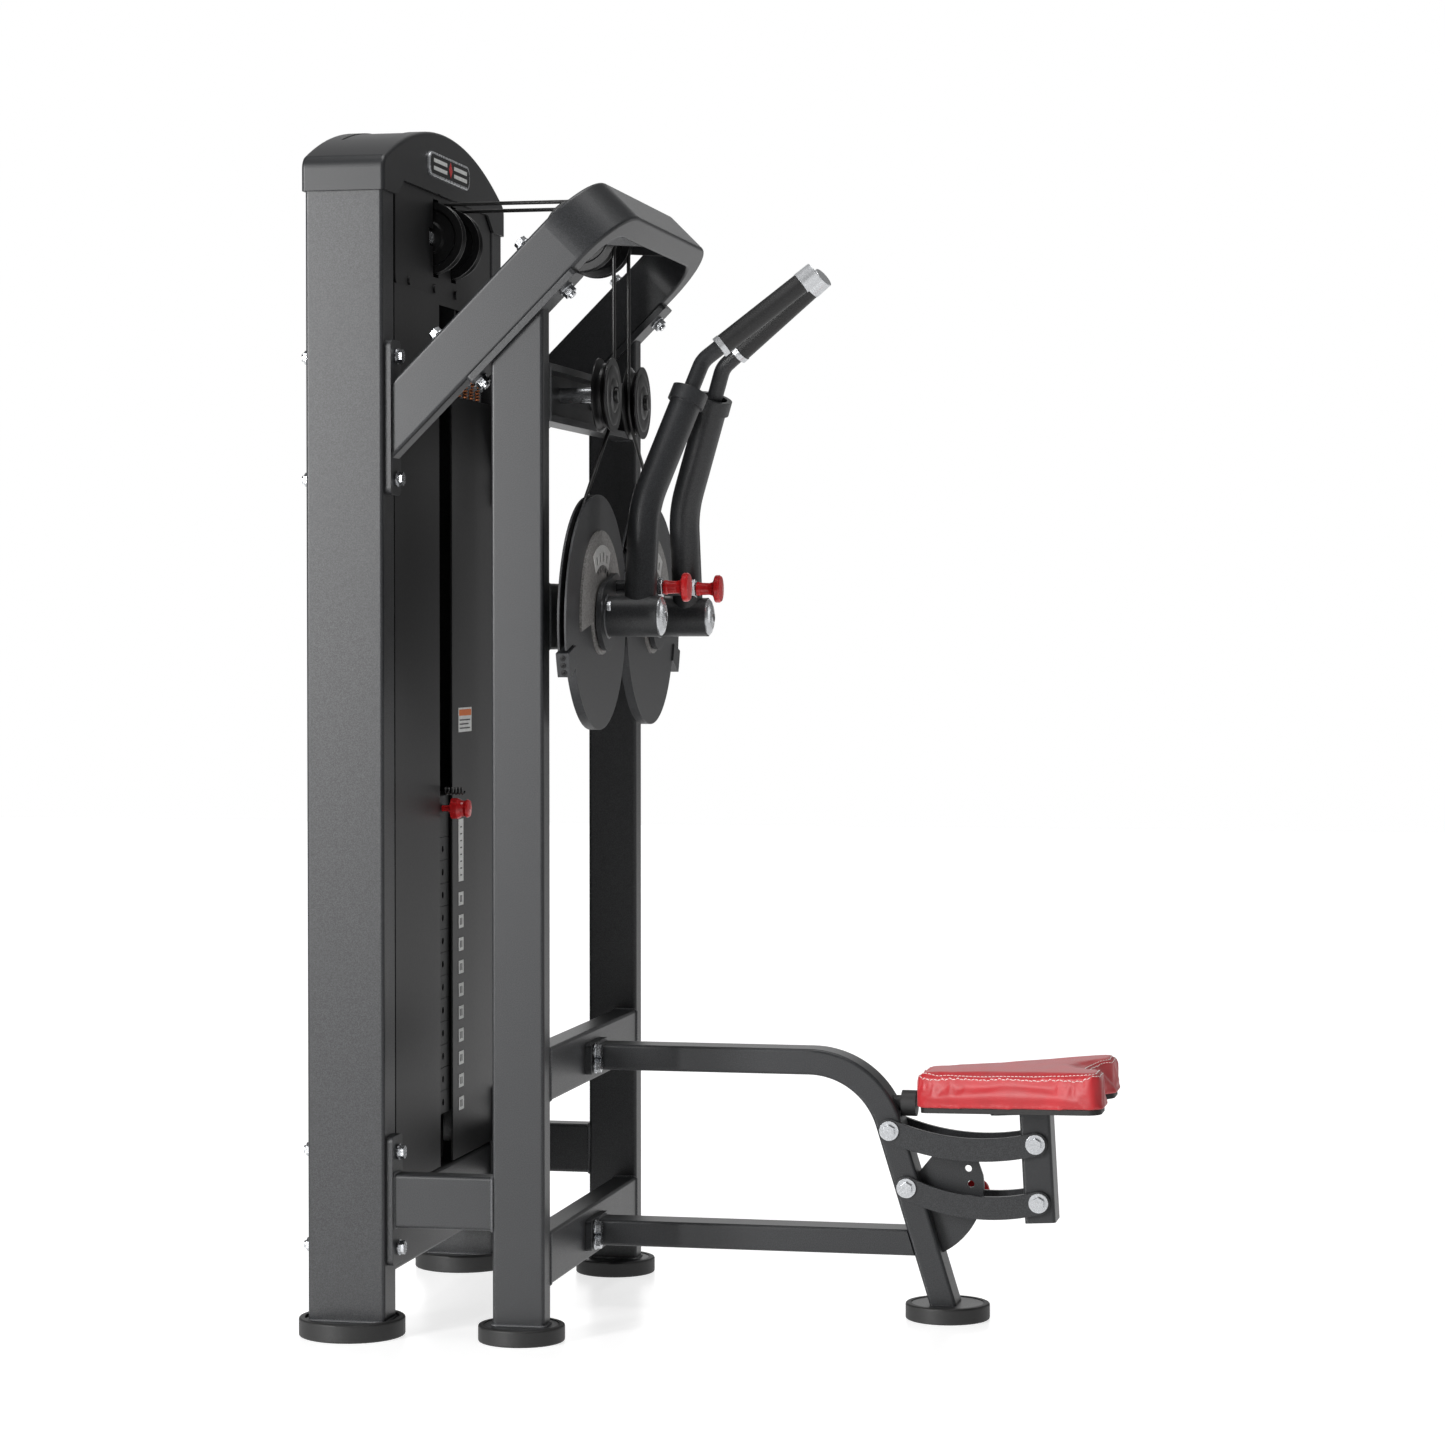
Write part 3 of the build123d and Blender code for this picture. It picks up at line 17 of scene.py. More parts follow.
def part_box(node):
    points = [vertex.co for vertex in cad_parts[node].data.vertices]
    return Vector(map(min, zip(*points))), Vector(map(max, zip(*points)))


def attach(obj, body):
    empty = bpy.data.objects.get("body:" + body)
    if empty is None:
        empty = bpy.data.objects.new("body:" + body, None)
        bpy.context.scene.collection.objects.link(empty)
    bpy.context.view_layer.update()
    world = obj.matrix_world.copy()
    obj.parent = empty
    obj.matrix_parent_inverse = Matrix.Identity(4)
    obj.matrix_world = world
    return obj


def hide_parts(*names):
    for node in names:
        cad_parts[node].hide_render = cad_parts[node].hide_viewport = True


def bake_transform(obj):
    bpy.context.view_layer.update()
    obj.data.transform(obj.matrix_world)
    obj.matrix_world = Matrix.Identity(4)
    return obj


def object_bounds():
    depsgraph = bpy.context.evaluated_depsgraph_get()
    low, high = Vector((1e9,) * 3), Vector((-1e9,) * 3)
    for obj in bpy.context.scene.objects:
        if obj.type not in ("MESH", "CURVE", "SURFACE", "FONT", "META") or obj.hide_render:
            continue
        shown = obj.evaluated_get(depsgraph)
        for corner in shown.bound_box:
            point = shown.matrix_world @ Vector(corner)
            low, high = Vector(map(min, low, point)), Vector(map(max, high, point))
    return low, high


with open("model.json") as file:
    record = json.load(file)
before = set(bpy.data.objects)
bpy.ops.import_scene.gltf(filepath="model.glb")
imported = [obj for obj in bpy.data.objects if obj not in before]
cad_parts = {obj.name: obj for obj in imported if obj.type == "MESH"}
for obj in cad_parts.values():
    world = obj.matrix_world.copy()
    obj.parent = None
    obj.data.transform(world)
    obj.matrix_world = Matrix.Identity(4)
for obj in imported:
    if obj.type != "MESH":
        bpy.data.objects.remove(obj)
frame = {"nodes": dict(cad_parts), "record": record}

cad_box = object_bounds()
MM = 0.001
print("nodes", len(frame["nodes"]), "box", [round(v, 3) for corner in cad_box for v in corner])

# %% [markdown]
# ## A helper for nodes
# A shader is a small graph. Every material below is built with the same function: it adds
# one node, sets its options, and then fills each input with a number or with a link.


# %% Colours and nodes
def linear(code):
    """An sRGB hex colour as the linear RGBA that Blender's sockets expect."""
    channels = [int(code[i:i + 2], 16) / 255 for i in (1, 3, 5)]
    bright = [c / 12.92 if c <= 0.04045 else ((c + 0.055) / 1.055) ** 2.4 for c in channels]
    return (*bright, 1.0)


def node(material, kind, inputs=None, **options):
    """Add one node, set its options, and fill or link its inputs."""
    made = material.node_tree.nodes.new(kind)
    for key, value in options.items():
        setattr(made, key, value)
    for name, value in (inputs or {}).items():
        if isinstance(value, bpy.types.NodeSocket):
            material.node_tree.links.new(value, made.inputs[name])
        else:
            made.inputs[name].default_value = value
    return made


def new_material(name, **sockets):
    """A material with one Principled surface whose uniform values sit on its own sockets."""
    material = bpy.data.materials.new(name)
    material.use_nodes = True
    surface = material.node_tree.nodes["Principled BSDF"]
    for key, value in sockets.items():
        surface.inputs[key.replace("_", " ")].default_value = value
    return material, surface


def grain(material, size_mm, detail=2.0, stretch=(1, 1, 1)):
    """Noise whose blobs are about size_mm across, measured in the object's own metres."""
    place = node(material, "ShaderNodeTexCoord").outputs["Object"]
    place = node(material, "ShaderNodeMapping", {"Vector": place, "Scale": stretch}).outputs["Vector"]
    inputs = {"Vector": place, "Scale": 1 / (size_mm * MM), "Detail": detail}
    return node(material, "ShaderNodeTexNoise", inputs).outputs["Fac"]


def two_tone(material, factor, low, high, start=0.35, end=0.65):
    """Blend between two hex colours as a factor goes from start to end."""
    ramp = node(material, "ShaderNodeValToRGB", {"Fac": factor})
    ramp.color_ramp.elements[0].position, ramp.color_ramp.elements[1].position = start, end
    ramp.color_ramp.elements[0].color, ramp.color_ramp.elements[1].color = linear(low), linear(high)
    return ramp.outputs["Color"]


def spread(material, factor, low, high):
    """Stretch a 0-to-1 factor over a range of numbers."""
    inputs = {"Value": factor, "To Min": low, "To Max": high}
    return node(material, "ShaderNodeMapRange", inputs).outputs["Result"]


def bump(material, height, depth_mm, edge_mm=0.0):
    """A bump of a real depth, over edges that a bevel shader softens."""
    inputs = {"Height": height, "Distance": depth_mm * MM, "Strength": 1.0}
    if edge_mm:
        inputs["Normal"] = node(material, "ShaderNodeBevel", {"Radius": edge_mm * MM}, samples=4).outputs[0]
    return node(material, "ShaderNodeBump", inputs).outputs["Normal"]


def join(material, surface, **links):
    """Link outputs to the Principled surface."""
    for name, value in links.items():
        material.node_tree.links.new(value, surface.inputs[name.replace("_", " ")])
    return material


finishes = {}

# %% [markdown]
# ## Textured powder coat
# The tubes are welded steel, sprayed with polyester powder and baked. The charcoal powder
# has a fine texture that scatters light into pale specks about a millimetre apart, so the
# lit faces look grey and the edges catch a soft line. Noise at that size drives colour,
# roughness and bump together, because on the real coat one grain causes all three.


# %% Powder coat
def powder_coat(name, low, high, roughness):
    material, surface = new_material(name, IOR=1.5)
    specks = grain(material, 1.3, detail=3)
    colour = two_tone(material, specks, low, high, 0.38, 0.66)
    return join(material, surface, Base_Color=colour,
                Roughness=spread(material, specks, roughness + 0.08, roughness - 0.08),
                Normal=bump(material, specks, 0.10, edge_mm=1.2))


finishes["frame_paint"] = powder_coat("charcoal_powder_coat_baked", "#17181a", "#323335", 0.40)
finishes["cast"] = powder_coat("black_hammered_paint_on_cast_iron", "#0c0d0e", "#161718", 0.5)

# %% [markdown]
# ## Satin black sheet covers
# The covers of the stack are thin steel sheet with a smoother black coat. It is darker than
# the frame and nearly even, with a faint orange-peel wave a few millimetres long.


# %% Sheet covers and cap
def smooth_coat(name, low, high, roughness, wave_mm, depth_mm):
    material, surface = new_material(name, IOR=1.5)
    wave = grain(material, wave_mm)
    return join(material, surface, Base_Color=two_tone(material, wave, low, high),
                Roughness=spread(material, wave, roughness, roughness + 0.08),
                Normal=bump(material, wave, depth_mm, edge_mm=0.8))


finishes["cover_paint"] = smooth_coat(
    "satin_black_enamel_on_sheet_steel", "#08080a", "#0e0e10", 0.42, 4, 0.02)
finishes["cap_plastic"] = smooth_coat(
    "moulded_ABS_fine_spark_texture", "#121315", "#1d1e20", 0.42, 0.9, 0.05)
finishes["pulley_plastic"] = smooth_coat("turned_nylon_polished", "#070708", "#0d0d0e", 0.3, 3, 0.01)
finishes["board"] = smooth_coat("black_painted_plywood", "#0e0e0e", "#1a1918", 0.6, 6, 0.05)

# %% [markdown]
# ## Rubber, sheathed cable and plastics
# Moulded rubber is matt, and its skin carries the fine spark texture of the mould. The
# drive cable is steel wire in a black nylon sheath: smoother than rubber, but not glossy.


# %% Rubber and cable
def rubber(name, low, high, roughness, size_mm, depth_mm):
    material, surface = new_material(name, IOR=1.52)
    skin = grain(material, size_mm, detail=4)
    return join(material, surface, Base_Color=two_tone(material, skin, low, high),
                Roughness=spread(material, skin, roughness - 0.06, roughness + 0.06),
                Normal=bump(material, skin, depth_mm, edge_mm=0.8))


finishes["foot_rubber"] = rubber("moulded_black_rubber", "#131313", "#1f1f1f", 0.55, 0.8, 0.06)
finishes["grip_rubber"] = rubber("extruded_grip_rubber", "#101010", "#1c1c1d", 0.48, 0.6, 0.05)
finishes["cable"] = rubber("nylon_sheathed_wire_rope", "#0c0c0c", "#161616", 0.35, 1.0, 0.02)

# %% [markdown]
# ## Red plastics and printed film
# The pull knobs are injection-moulded in red with a hard gloss. Labels are white printed
# vinyl film, so faint dust and a soft sheen are all that varies.

# %% Gloss plastics
finishes["knob_red"] = smooth_coat("injection_moulded_red_ABS", "#c4181c", "#cf2024", 0.22, 5, 0.004)
finishes["pin_knob"] = finishes["knob_red"]
finishes["labels"] = smooth_coat("white_printed_vinyl_film", "#d9dad8", "#e6e7e5", 0.42, 9, 0.005)

# %% [markdown]
# ## Bare metals
# A clean metal has no colour under its shine: its base colour is the tint of its reflection
# and its metallic value is 1. Blasting, oxide and lacquer scatter some light, which a lower
# metallic value gives. Bright zinc on the bolts is slightly blue and uneven, turned
# aluminium on the grip rings keeps fine tool rings, and the index plates are blasted steel,
# grey and mottled.


# %% Metals
def metal(name, low, high, roughness, size_mm, depth_mm, stretch=(1, 1, 1), metallic=1.0):
    material, surface = new_material(name, Metallic=metallic)
    cloud = grain(material, size_mm, detail=3, stretch=stretch)
    return join(material, surface, Base_Color=two_tone(material, cloud, low, high),
                Roughness=spread(material, cloud, roughness - 0.07, roughness + 0.07),
                Normal=bump(material, cloud, depth_mm, edge_mm=0.5))


finishes["bolts"] = metal("bright_zinc_plated_steel", "#bfc1c4", "#d2d4d7", 0.26, 3, 0.004)
finishes["polished_steel"] = metal(
    "chromed_and_polished_steel", "#b9bbbe", "#c6c8ca", 0.24, 14, 0.002, metallic=0.75)
finishes["brushed"] = metal(
    "blasted_and_worn_steel_plate", "#6f6d6b", "#9b9997", 0.48, 2.5, 0.02, metallic=0.35)
finishes["aluminium_rings"] = metal(
    "turned_aluminium", "#c6c8cb", "#d6d8da", 0.3, 0.9, 0.002, (0.2, 1, 1), 0.7)
finishes["badge"] = metal("vacuum_metallised_ABS", "#b9bbbf", "#c9cbcd", 0.28, 8, 0.002, metallic=0.6)
# near-white wear plate: partly the ground steel's own pale grey, partly a painted highlight on the crescent
finishes["wear_plate"] = metal("ground_steel_painted_highlight", "#c9c8c6", "#e0dfdd", 0.3, 2, 0.002, metallic=0.3)

# %% [markdown]
# ## Coated upholstery fabric
# The seat is covered in red PVC-coated knit, often sold as vinyl leather. Its embossed
# grain is a net of creases about a millimetre apart. Voronoi cells give that net: the
# distance to a cell's edge is low in the creases and high on the pebbles between them.


# %% Upholstery
def vinyl_leather():
    material, surface = new_material("red_PVC_coated_knit_embossed", IOR=1.52, Sheen_Weight=0.12,
                                     Sheen_Roughness=0.5)
    place = node(material, "ShaderNodeTexCoord").outputs["Object"]
    cells = node(material, "ShaderNodeTexVoronoi", {"Vector": place, "Scale": 1 / (1.6 * MM)},
                 feature="DISTANCE_TO_EDGE").outputs["Distance"]
    pebbles = spread(material, cells, 0.0, 1.6)
    clouds = grain(material, 45)
    return join(material, surface, Base_Color=two_tone(material, clouds, "#a81a21", "#b41e26"),
                Roughness=spread(material, clouds, 0.42, 0.52),
                Normal=bump(material, pebbles, 0.10))


finishes["upholstery"] = vinyl_leather()
thread, thread_surface = new_material("bonded_polyester_thread", Roughness=0.55, Sheen_Weight=0.3)
join(thread, thread_surface, Base_Color=two_tone(thread, grain(thread, 0.6), "#cfc4c0", "#efe8e4"))
# lighter than the frame paint under the same powder: a painted highlight on the weld beads
weld_coat_painted_highlight = powder_coat("weld_bead_coat_painted_highlight", "#3b3c3e", "#58595b", 0.36)
copper = metal("copper_plated_spring_wire", "#b0663f", "#cf8558", 0.3, 2, 0.002, metallic=0.6)
# black for printed marks, and also painted shade on the cam clamp screws
black_print_and_shade = smooth_coat("screen_printed_black_and_painted_shade", "#050506", "#0a0a0b", 0.6, 5, 0.003)
ink = smooth_coat("printed_grey_ink", "#3c3d40", "#4a4b4e", 0.45, 4, 0.003)
orange_ink = smooth_coat("printed_orange_ink", "#d9691c", "#e2762a", 0.45, 4, 0.003)
print("finishes", len(finishes))

# %% [markdown]
# ## Dress the CAD nodes
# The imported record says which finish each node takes, so one loop dresses them all.

# %% Assign finishes
for row in frame["record"]["subparts"]:
    obj = frame["nodes"][row["node"]]
    obj.data.materials.clear()
    obj.data.materials.append(finishes[row["material_slot"]])

# %% [markdown]
# ## Building small pieces
# Every added piece is a mesh made from swept and turned outlines. Points and faces are
# collected in one list, so that twenty screws or a hundred stitches make one object.


# %% Mesh helpers
def frame_for(axis):
    """Two directions square to an axis."""
    axis = axis.normalized()
    side = axis.orthogonal().normalized()
    return side, axis.cross(side)


def sweep(shape, points, radius, sides=10, closed=False):
    """A round bar along points; radius may be one number or one for each point."""
    count = len(points)
    start = len(shape[0])
    side, over = frame_for(points[1] - points[0])
    for i, point in enumerate(points):
        ahead = points[(i + 1) % count] if closed or i < count - 1 else point
        behind = points[i - 1] if closed or i else point
        along = (ahead - behind).normalized()
        side = (side - along * side.dot(along)).normalized()
        over = along.cross(side)
        size = radius[i] if isinstance(radius, list) else radius
        for k in range(sides):
            turn = 2 * pi * k / sides
            shape[0].append(point + side * (size * cos(turn)) + over * (size * sin(turn)))
    for i in range(count if closed else count - 1):
        near, far = start + i * sides, start + (i + 1) % count * sides
        for k in range(sides):
            after = (k + 1) % sides
            shape[1].append((near + k, near + after, far + after, far + k))
    if not closed:
        shape[1].append(tuple(start + k for k in reversed(range(sides))))
        shape[1].append(tuple(start + (count - 1) * sides + k for k in range(sides)))


def lathe(shape, origin, axis, outline, sides=32):
    """Turn an outline of (height, radius) pairs round an axis."""
    side, over = frame_for(axis)
    axis = axis.normalized()
    start = len(shape[0])
    for height, radius in outline:
        for k in range(sides):
            turn = 2 * pi * k / sides
            out = side * (radius * cos(turn)) + over * (radius * sin(turn))
            shape[0].append(origin + axis * height + out)
    for i in range(len(outline) - 1):
        near, far = start + i * sides, start + (i + 1) * sides
        for k in range(sides):
            after = (k + 1) % sides
            shape[1].append((near + k, near + after, far + after, far + k))
    shape[1].append(tuple(start + k for k in reversed(range(sides))))
    shape[1].append(tuple(start + (len(outline) - 1) * sides + k for k in range(sides)))


def prism(shape, outline, depth):
    """A flat outline made into a plate along a vector."""
    start, count = len(shape[0]), len(outline)
    shape[0].extend(outline)
    shape[0].extend(point + depth for point in outline)
    shape[1].append(tuple(start + i for i in reversed(range(count))))
    shape[1].append(tuple(start + count + i for i in range(count)))
    for i in range(count):
        after = (i + 1) % count
        shape[1].append((start + i, start + after, start + count + after, start + count + i))


def piece(name, shape, material, body, bevel_mm=0.0):
    """Turn collected points and faces into one object that rides on a CAD body, if one is named."""
    mesh = bpy.data.meshes.new(name)
    mesh.from_pydata([tuple(point) for point in shape[0]], [], shape[1])
    tidy = bmesh.new()
    tidy.from_mesh(mesh)
    bmesh.ops.recalc_face_normals(tidy, faces=tidy.faces)
    tidy.to_mesh(mesh)
    tidy.free()
    mesh.materials.append(material)
    obj = bpy.data.objects.new(name, mesh)
    bpy.context.scene.collection.objects.link(obj)
    if bevel_mm:
        soften = obj.modifiers.new("soft_edges", "BEVEL")
        soften.width, soften.segments, soften.limit_method = bevel_mm * MM, 2, "ANGLE"
    for face in mesh.polygons:
        face.use_smooth = True
    mesh.set_sharp_from_angle(angle=0.6)
    if body:
        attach(obj, body)
    print(name, "faces", len(mesh.polygons))
    return obj


def box_of(name):
    low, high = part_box(name)
    return Vector(low), Vector(high)


def islands(name):
    """The lowest and highest corner of each separate solid of a CAD node."""
    mesh = bmesh.new()
    mesh.from_mesh(frame["nodes"][name].data)
    bmesh.ops.remove_doubles(mesh, verts=mesh.verts, dist=1e-6)
    left, found = set(mesh.verts), []
    while left:
        stack = [left.pop()]
        group = []
        while stack:
            vert = stack.pop()
            group.append(vert.co.copy())
            for edge in vert.link_edges:
                other = edge.other_vert(vert)
                if other in left:
                    left.remove(other)
                    stack.append(other)
        found.append((Vector(map(min, *group)), Vector(map(max, *group))))
    mesh.free()
    return sorted(found, key=lambda corners: tuple(corners[0]))


# %% [markdown]
# ## The seat cushion
# A gym seat is a block of firm foam on a plywood board, wrapped in coated fabric that is
# stapled underneath. The foam pushes the cover out, so its faces bulge a little and its
# edges are round. Modelling the bulge by hand looks stiff; instead the CAD block is
# remeshed into small even faces and blown up as cloth, held where it meets the board.


# %% Simulate the cushion
def fresh_mesh(obj):
    """The mesh of an object with its modifiers applied."""
    graph = bpy.context.evaluated_depsgraph_get()
    return bpy.data.meshes.new_from_object(obj.evaluated_get(graph))


def inflate(obj, up, floor_height, pressure, reach_mm):
    """Swell a closed mesh as cloth, with its underside pinned, and cap how far it moves."""
    rest = [vert.co.copy() for vert in obj.data.vertices]
    held = [i for i, point in enumerate(rest) if point.dot(up) < floor_height + 4 * MM]
    obj.vertex_groups.new(name="on_board").add(held, 1.0, "REPLACE")
    cloth = obj.modifiers.new("stuffing", "CLOTH")
    cloth.settings.vertex_group_mass = "on_board"
    cloth.settings.use_pressure = True
    cloth.settings.uniform_pressure_force = pressure
    cloth.settings.tension_stiffness = 30
    cloth.settings.compression_stiffness = 30
    cloth.settings.effector_weights.gravity = 0
    for step in range(1, 21):
        bpy.context.scene.frame_set(step)
    swollen = fresh_mesh(obj)
    obj.modifiers.remove(cloth)
    for vert, start in zip(swollen.vertices, rest):
        move = vert.co - start
        if move.length > reach_mm * MM:
            vert.co = start + move.normalized() * (reach_mm * MM)
    obj.data = swollen
    bpy.context.scene.frame_set(1)


pad = frame["nodes"]["seat_pad"]
cushion = bpy.data.objects.new("seat_cushion", pad.data.copy())
bpy.context.scene.collection.objects.link(cushion)
remesh = cushion.modifiers.new("even_faces", "REMESH")
remesh.mode, remesh.voxel_size = "VOXEL", 4.5 * MM
cushion.data = fresh_mesh(cushion)
cushion.modifiers.clear()

# the seat's own up direction is the average normal of the faces that look most upward
tops = [face for face in pad.data.polygons if face.normal.z > 0.95]
seat_up = sum((face.normal * face.area for face in tops), Vector()).normalized()
base = min(vert.co.dot(seat_up) for vert in pad.data.vertices)
for vert in cushion.data.vertices:
    if vert.co.dot(seat_up) > base + 4 * MM:
        vert.co -= vert.normal * (1.2 * MM)
inflate(cushion, seat_up, base, 4.0, 4.5)
cushion.modifiers.new("smooth_cover", "SUBSURF").levels = 1
cushion.data = fresh_mesh(cushion)
cushion.modifiers.clear()
for face in cushion.data.polygons:
    face.use_smooth = True
cushion.data.materials.clear()
cushion.data.materials.append(finishes["upholstery"])
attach(cushion, "seat")
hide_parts("seat_pad")
print("cushion points", len(cushion.data.vertices), "seat up", [round(v, 3) for v in seat_up])

# %% [markdown]
# ## The sewn edge
# The top panel is joined to the side band a few millimetres in from the edge, and a row of
# pale thread locks the seam down on each side of it. The outline of the pad's top face,
# moved inward, gives the seam's path: first the cushion is pressed in along it, and then
# each stitch is a short bar of thread laid on the cushion's surface.


# %% Outline of the top panel
def top_outline():
    """The points round the top face of the pad, in order."""
    mesh = bmesh.new()
    mesh.from_mesh(pad.data)
    bmesh.ops.remove_doubles(mesh, verts=mesh.verts, dist=1e-6)
    top = max(vert.co.dot(seat_up) for vert in mesh.verts)
    upper = {v for v in mesh.verts if v.co.dot(seat_up) > top - 0.5 * MM}
    edges = [e for e in mesh.edges if all(v in upper for v in e.verts)
             and any(f.normal.dot(seat_up) < 0.5 for f in e.link_faces)]
    ahead = {}
    for edge in edges:
        for near, far in (edge.verts, reversed(edge.verts)):
            ahead.setdefault(near, []).append(far)
    first = edges[0].verts[0]
    path, before, here = [first.co.copy()], first, ahead[first][0]
    while here is not first:
        path.append(here.co.copy())
        before, here = here, next(v for v in ahead[here] if v is not before)
    mesh.free()
    return path


def walk(path, step, closed=True):
    """Points at even steps along a path."""
    legs = list(zip(path, path[1:] + path[:1])) if closed else list(zip(path, path[1:]))
    total = sum((b - a).length for a, b in legs)
    count = max(2, round(total / step))
    step, wanted, travelled, points = total / count, 0.0, 0.0, []
    for a, b in legs:
        length = (b - a).length
        while wanted <= travelled + length and len(points) < count:
            points.append(a.lerp(b, (wanted - travelled) / length))
            wanted += step
        travelled += length
    return points


def move_in(path, distance):
    """A closed path moved towards its inside, in the plane of the seat."""
    count = len(path)
    spokes = [point - path[0] for point in path]
    area = sum(spokes[i].cross(spokes[(i + 1) % count]).dot(seat_up) for i in range(count))
    sign = 1 if area > 0 else -1
    moved = []
    for i, point in enumerate(path):
        along = (path[(i + 1) % count] - path[i - 1]).normalized()
        moved.append(point + seat_up.cross(along) * (sign * distance))
    return moved


outline = walk(top_outline(), 2.5 * MM)
seam = move_in(outline, 8 * MM)
for vert in cushion.data.vertices:
    if vert.co.dot(seat_up) > base + 35 * MM:
        flat = min(((vert.co - p) - seat_up * (vert.co - p).dot(seat_up)).length for p in seam)
        if flat < 3.5 * MM:
            vert.co -= seat_up * (1.1 * MM * (1 - flat / (3.5 * MM)))
tree = BVHTree.FromObject(cushion, bpy.context.evaluated_depsgraph_get())

# %% Lay the stitches
stitches = ([], [])
for inset in (5.5, 10.5):
    row = walk(move_in(outline, inset * MM), 6.4 * MM)
    for here, after in zip(row, row[1:] + row[:1]):
        bar = []
        for t, lift in ((0.05, -0.3), (0.25, 0.35), (0.45, 0.5), (0.65, 0.35), (0.8, -0.3)):
            spot = here.lerp(after, t)
            hit = tree.ray_cast(spot + seat_up * 0.03, -seat_up)
            bar.append((hit[0] if hit[0] else spot) + seat_up * (lift * MM))
        sweep(stitches, bar, [0.35 * MM, 0.55 * MM, 0.6 * MM, 0.55 * MM, 0.35 * MM], sides=6)
piece("seat_stitches", stitches, thread, "seat")

# %% [markdown]
# ## Weld beads
# The frame is welded before it is coated, so each bead is a rope of small ripples under the
# same powder. The beads are coloured lighter than the frame, a painted highlight along each bead.
# A bead is a bar swept round the joint whose radius swells at every ripple.


# %% Weld beads
def loop(centre, across, along, half_across, half_along, corner=5.0):
    """A rectangle with round corners, in millimetres round a centre in metres."""
    points = []
    for quarter in range(4):
        for k in range(5):
            turn = pi / 2 * (quarter + k / 4)
            sx = 1 if quarter in (0, 3) else -1
            sy = 1 if quarter in (0, 1) else -1
            x = sx * (half_across - corner) + corner * cos(turn)
            y = sy * (half_along - corner) + corner * sin(turn)
            points.append(centre + across * (x * MM) + along * (y * MM))
    return points


def ring(centre, axis, radius_mm):
    side, over = frame_for(axis)
    return [centre + (side * cos(2 * pi * k / 48) + over * sin(2 * pi * k / 48)) * (radius_mm * MM)
            for k in range(48)]


def weld(shape, path, size_mm=2.6):
    """A rippled bead along a closed path."""
    points = walk(path, 1.6 * MM)
    sizes = [(size_mm + 0.35 * sin(2 * pi * i / 3)) * MM for i in range(len(points))]
    sweep(shape, points, sizes, sides=8, closed=True)


X, Y, Z = Vector((1, 0, 0)), Vector((0, 1, 0)), Vector((0, 0, 1))
beads = ([], [])
PLATE = 10 * MM
for name, half_x, half_y in (("tower_columns", 60, 30), ("front_columns", 40, 20)):
    for low, high in islands(name):
        middle = (low + high) / 2
        weld(beads, loop(Vector((middle.x, middle.y, low.z + PLATE)), X, Y, half_x, half_y))
for low, high in islands("side_rails"):
    middle = (low + high) / 2
    for x in (low.x + PLATE, high.x):
        weld(beads, loop(Vector((x, middle.y, middle.z)), Y, Z, 20, 40))
for name, half_z in (("front_beams", 40), ("upper_cross_member", 43), ("pivot_beam", 49)):
    for low, high in islands(name):
        beam_x = low.x + 20 * MM
        for y in (low.y, high.y):
            weld(beads, loop(Vector((beam_x, y, (low.z + high.z) / 2)), X, Z, 20, half_z))
seat_low, seat_high = box_of("seat_post")
floor_low = box_of("seat_lower_tube")[0]
END_PLATE_HALF = 24 * MM
for x, z in ((seat_low.x, seat_high.z - END_PLATE_HALF), (floor_low.x, floor_low.z + END_PLATE_HALF)):
    weld(beads, loop(Vector((x + PLATE, 0, z)), Y, Z, 30, 20))
piece("weld_beads", beads, weld_coat_painted_highlight, "frame")

# %% [markdown]
# ## Small hardware on the cams
# Each cam carries a clamp block with three socket screws that grip the cable's end, a wear
# plate with slots, and a rubber stop with a hex head. The screws and the hex discs on them are
# near-black: painted shade standing for the holes they sit in. The wear plate's near-white is
# partly the steel's own pale grey and partly a painted highlight. All of them are drawn round
# the hub's axis with one function that gives a point at a radius and an angle.


# %% Cam hardware
def around(side, radius_mm, degrees, x):
    """A point round a hub, at an angle outward of straight up."""
    low, high = box_of("hub_cap_left" if side < 0 else "hub_cap_right")
    turn = degrees * pi / 180
    y = (low.y + high.y) / 2 + side * radius_mm * MM * sin(turn)
    return Vector((x, y, (low.z + high.z) / 2 + radius_mm * MM * cos(turn)))


def sector_plate(shape, side, inner_mm, outer_mm, start, end, x, depth_mm):
    """A flat piece of a ring, between two radii and two angles."""
    steps = 14
    angles = [start + (end - start) * k / steps for k in range(steps + 1)]
    outline = [around(side, outer_mm, a, x) for a in angles]
    outline += [around(side, inner_mm, a, x) for a in reversed(angles)]
    prism(shape, outline, X * (depth_mm * MM))


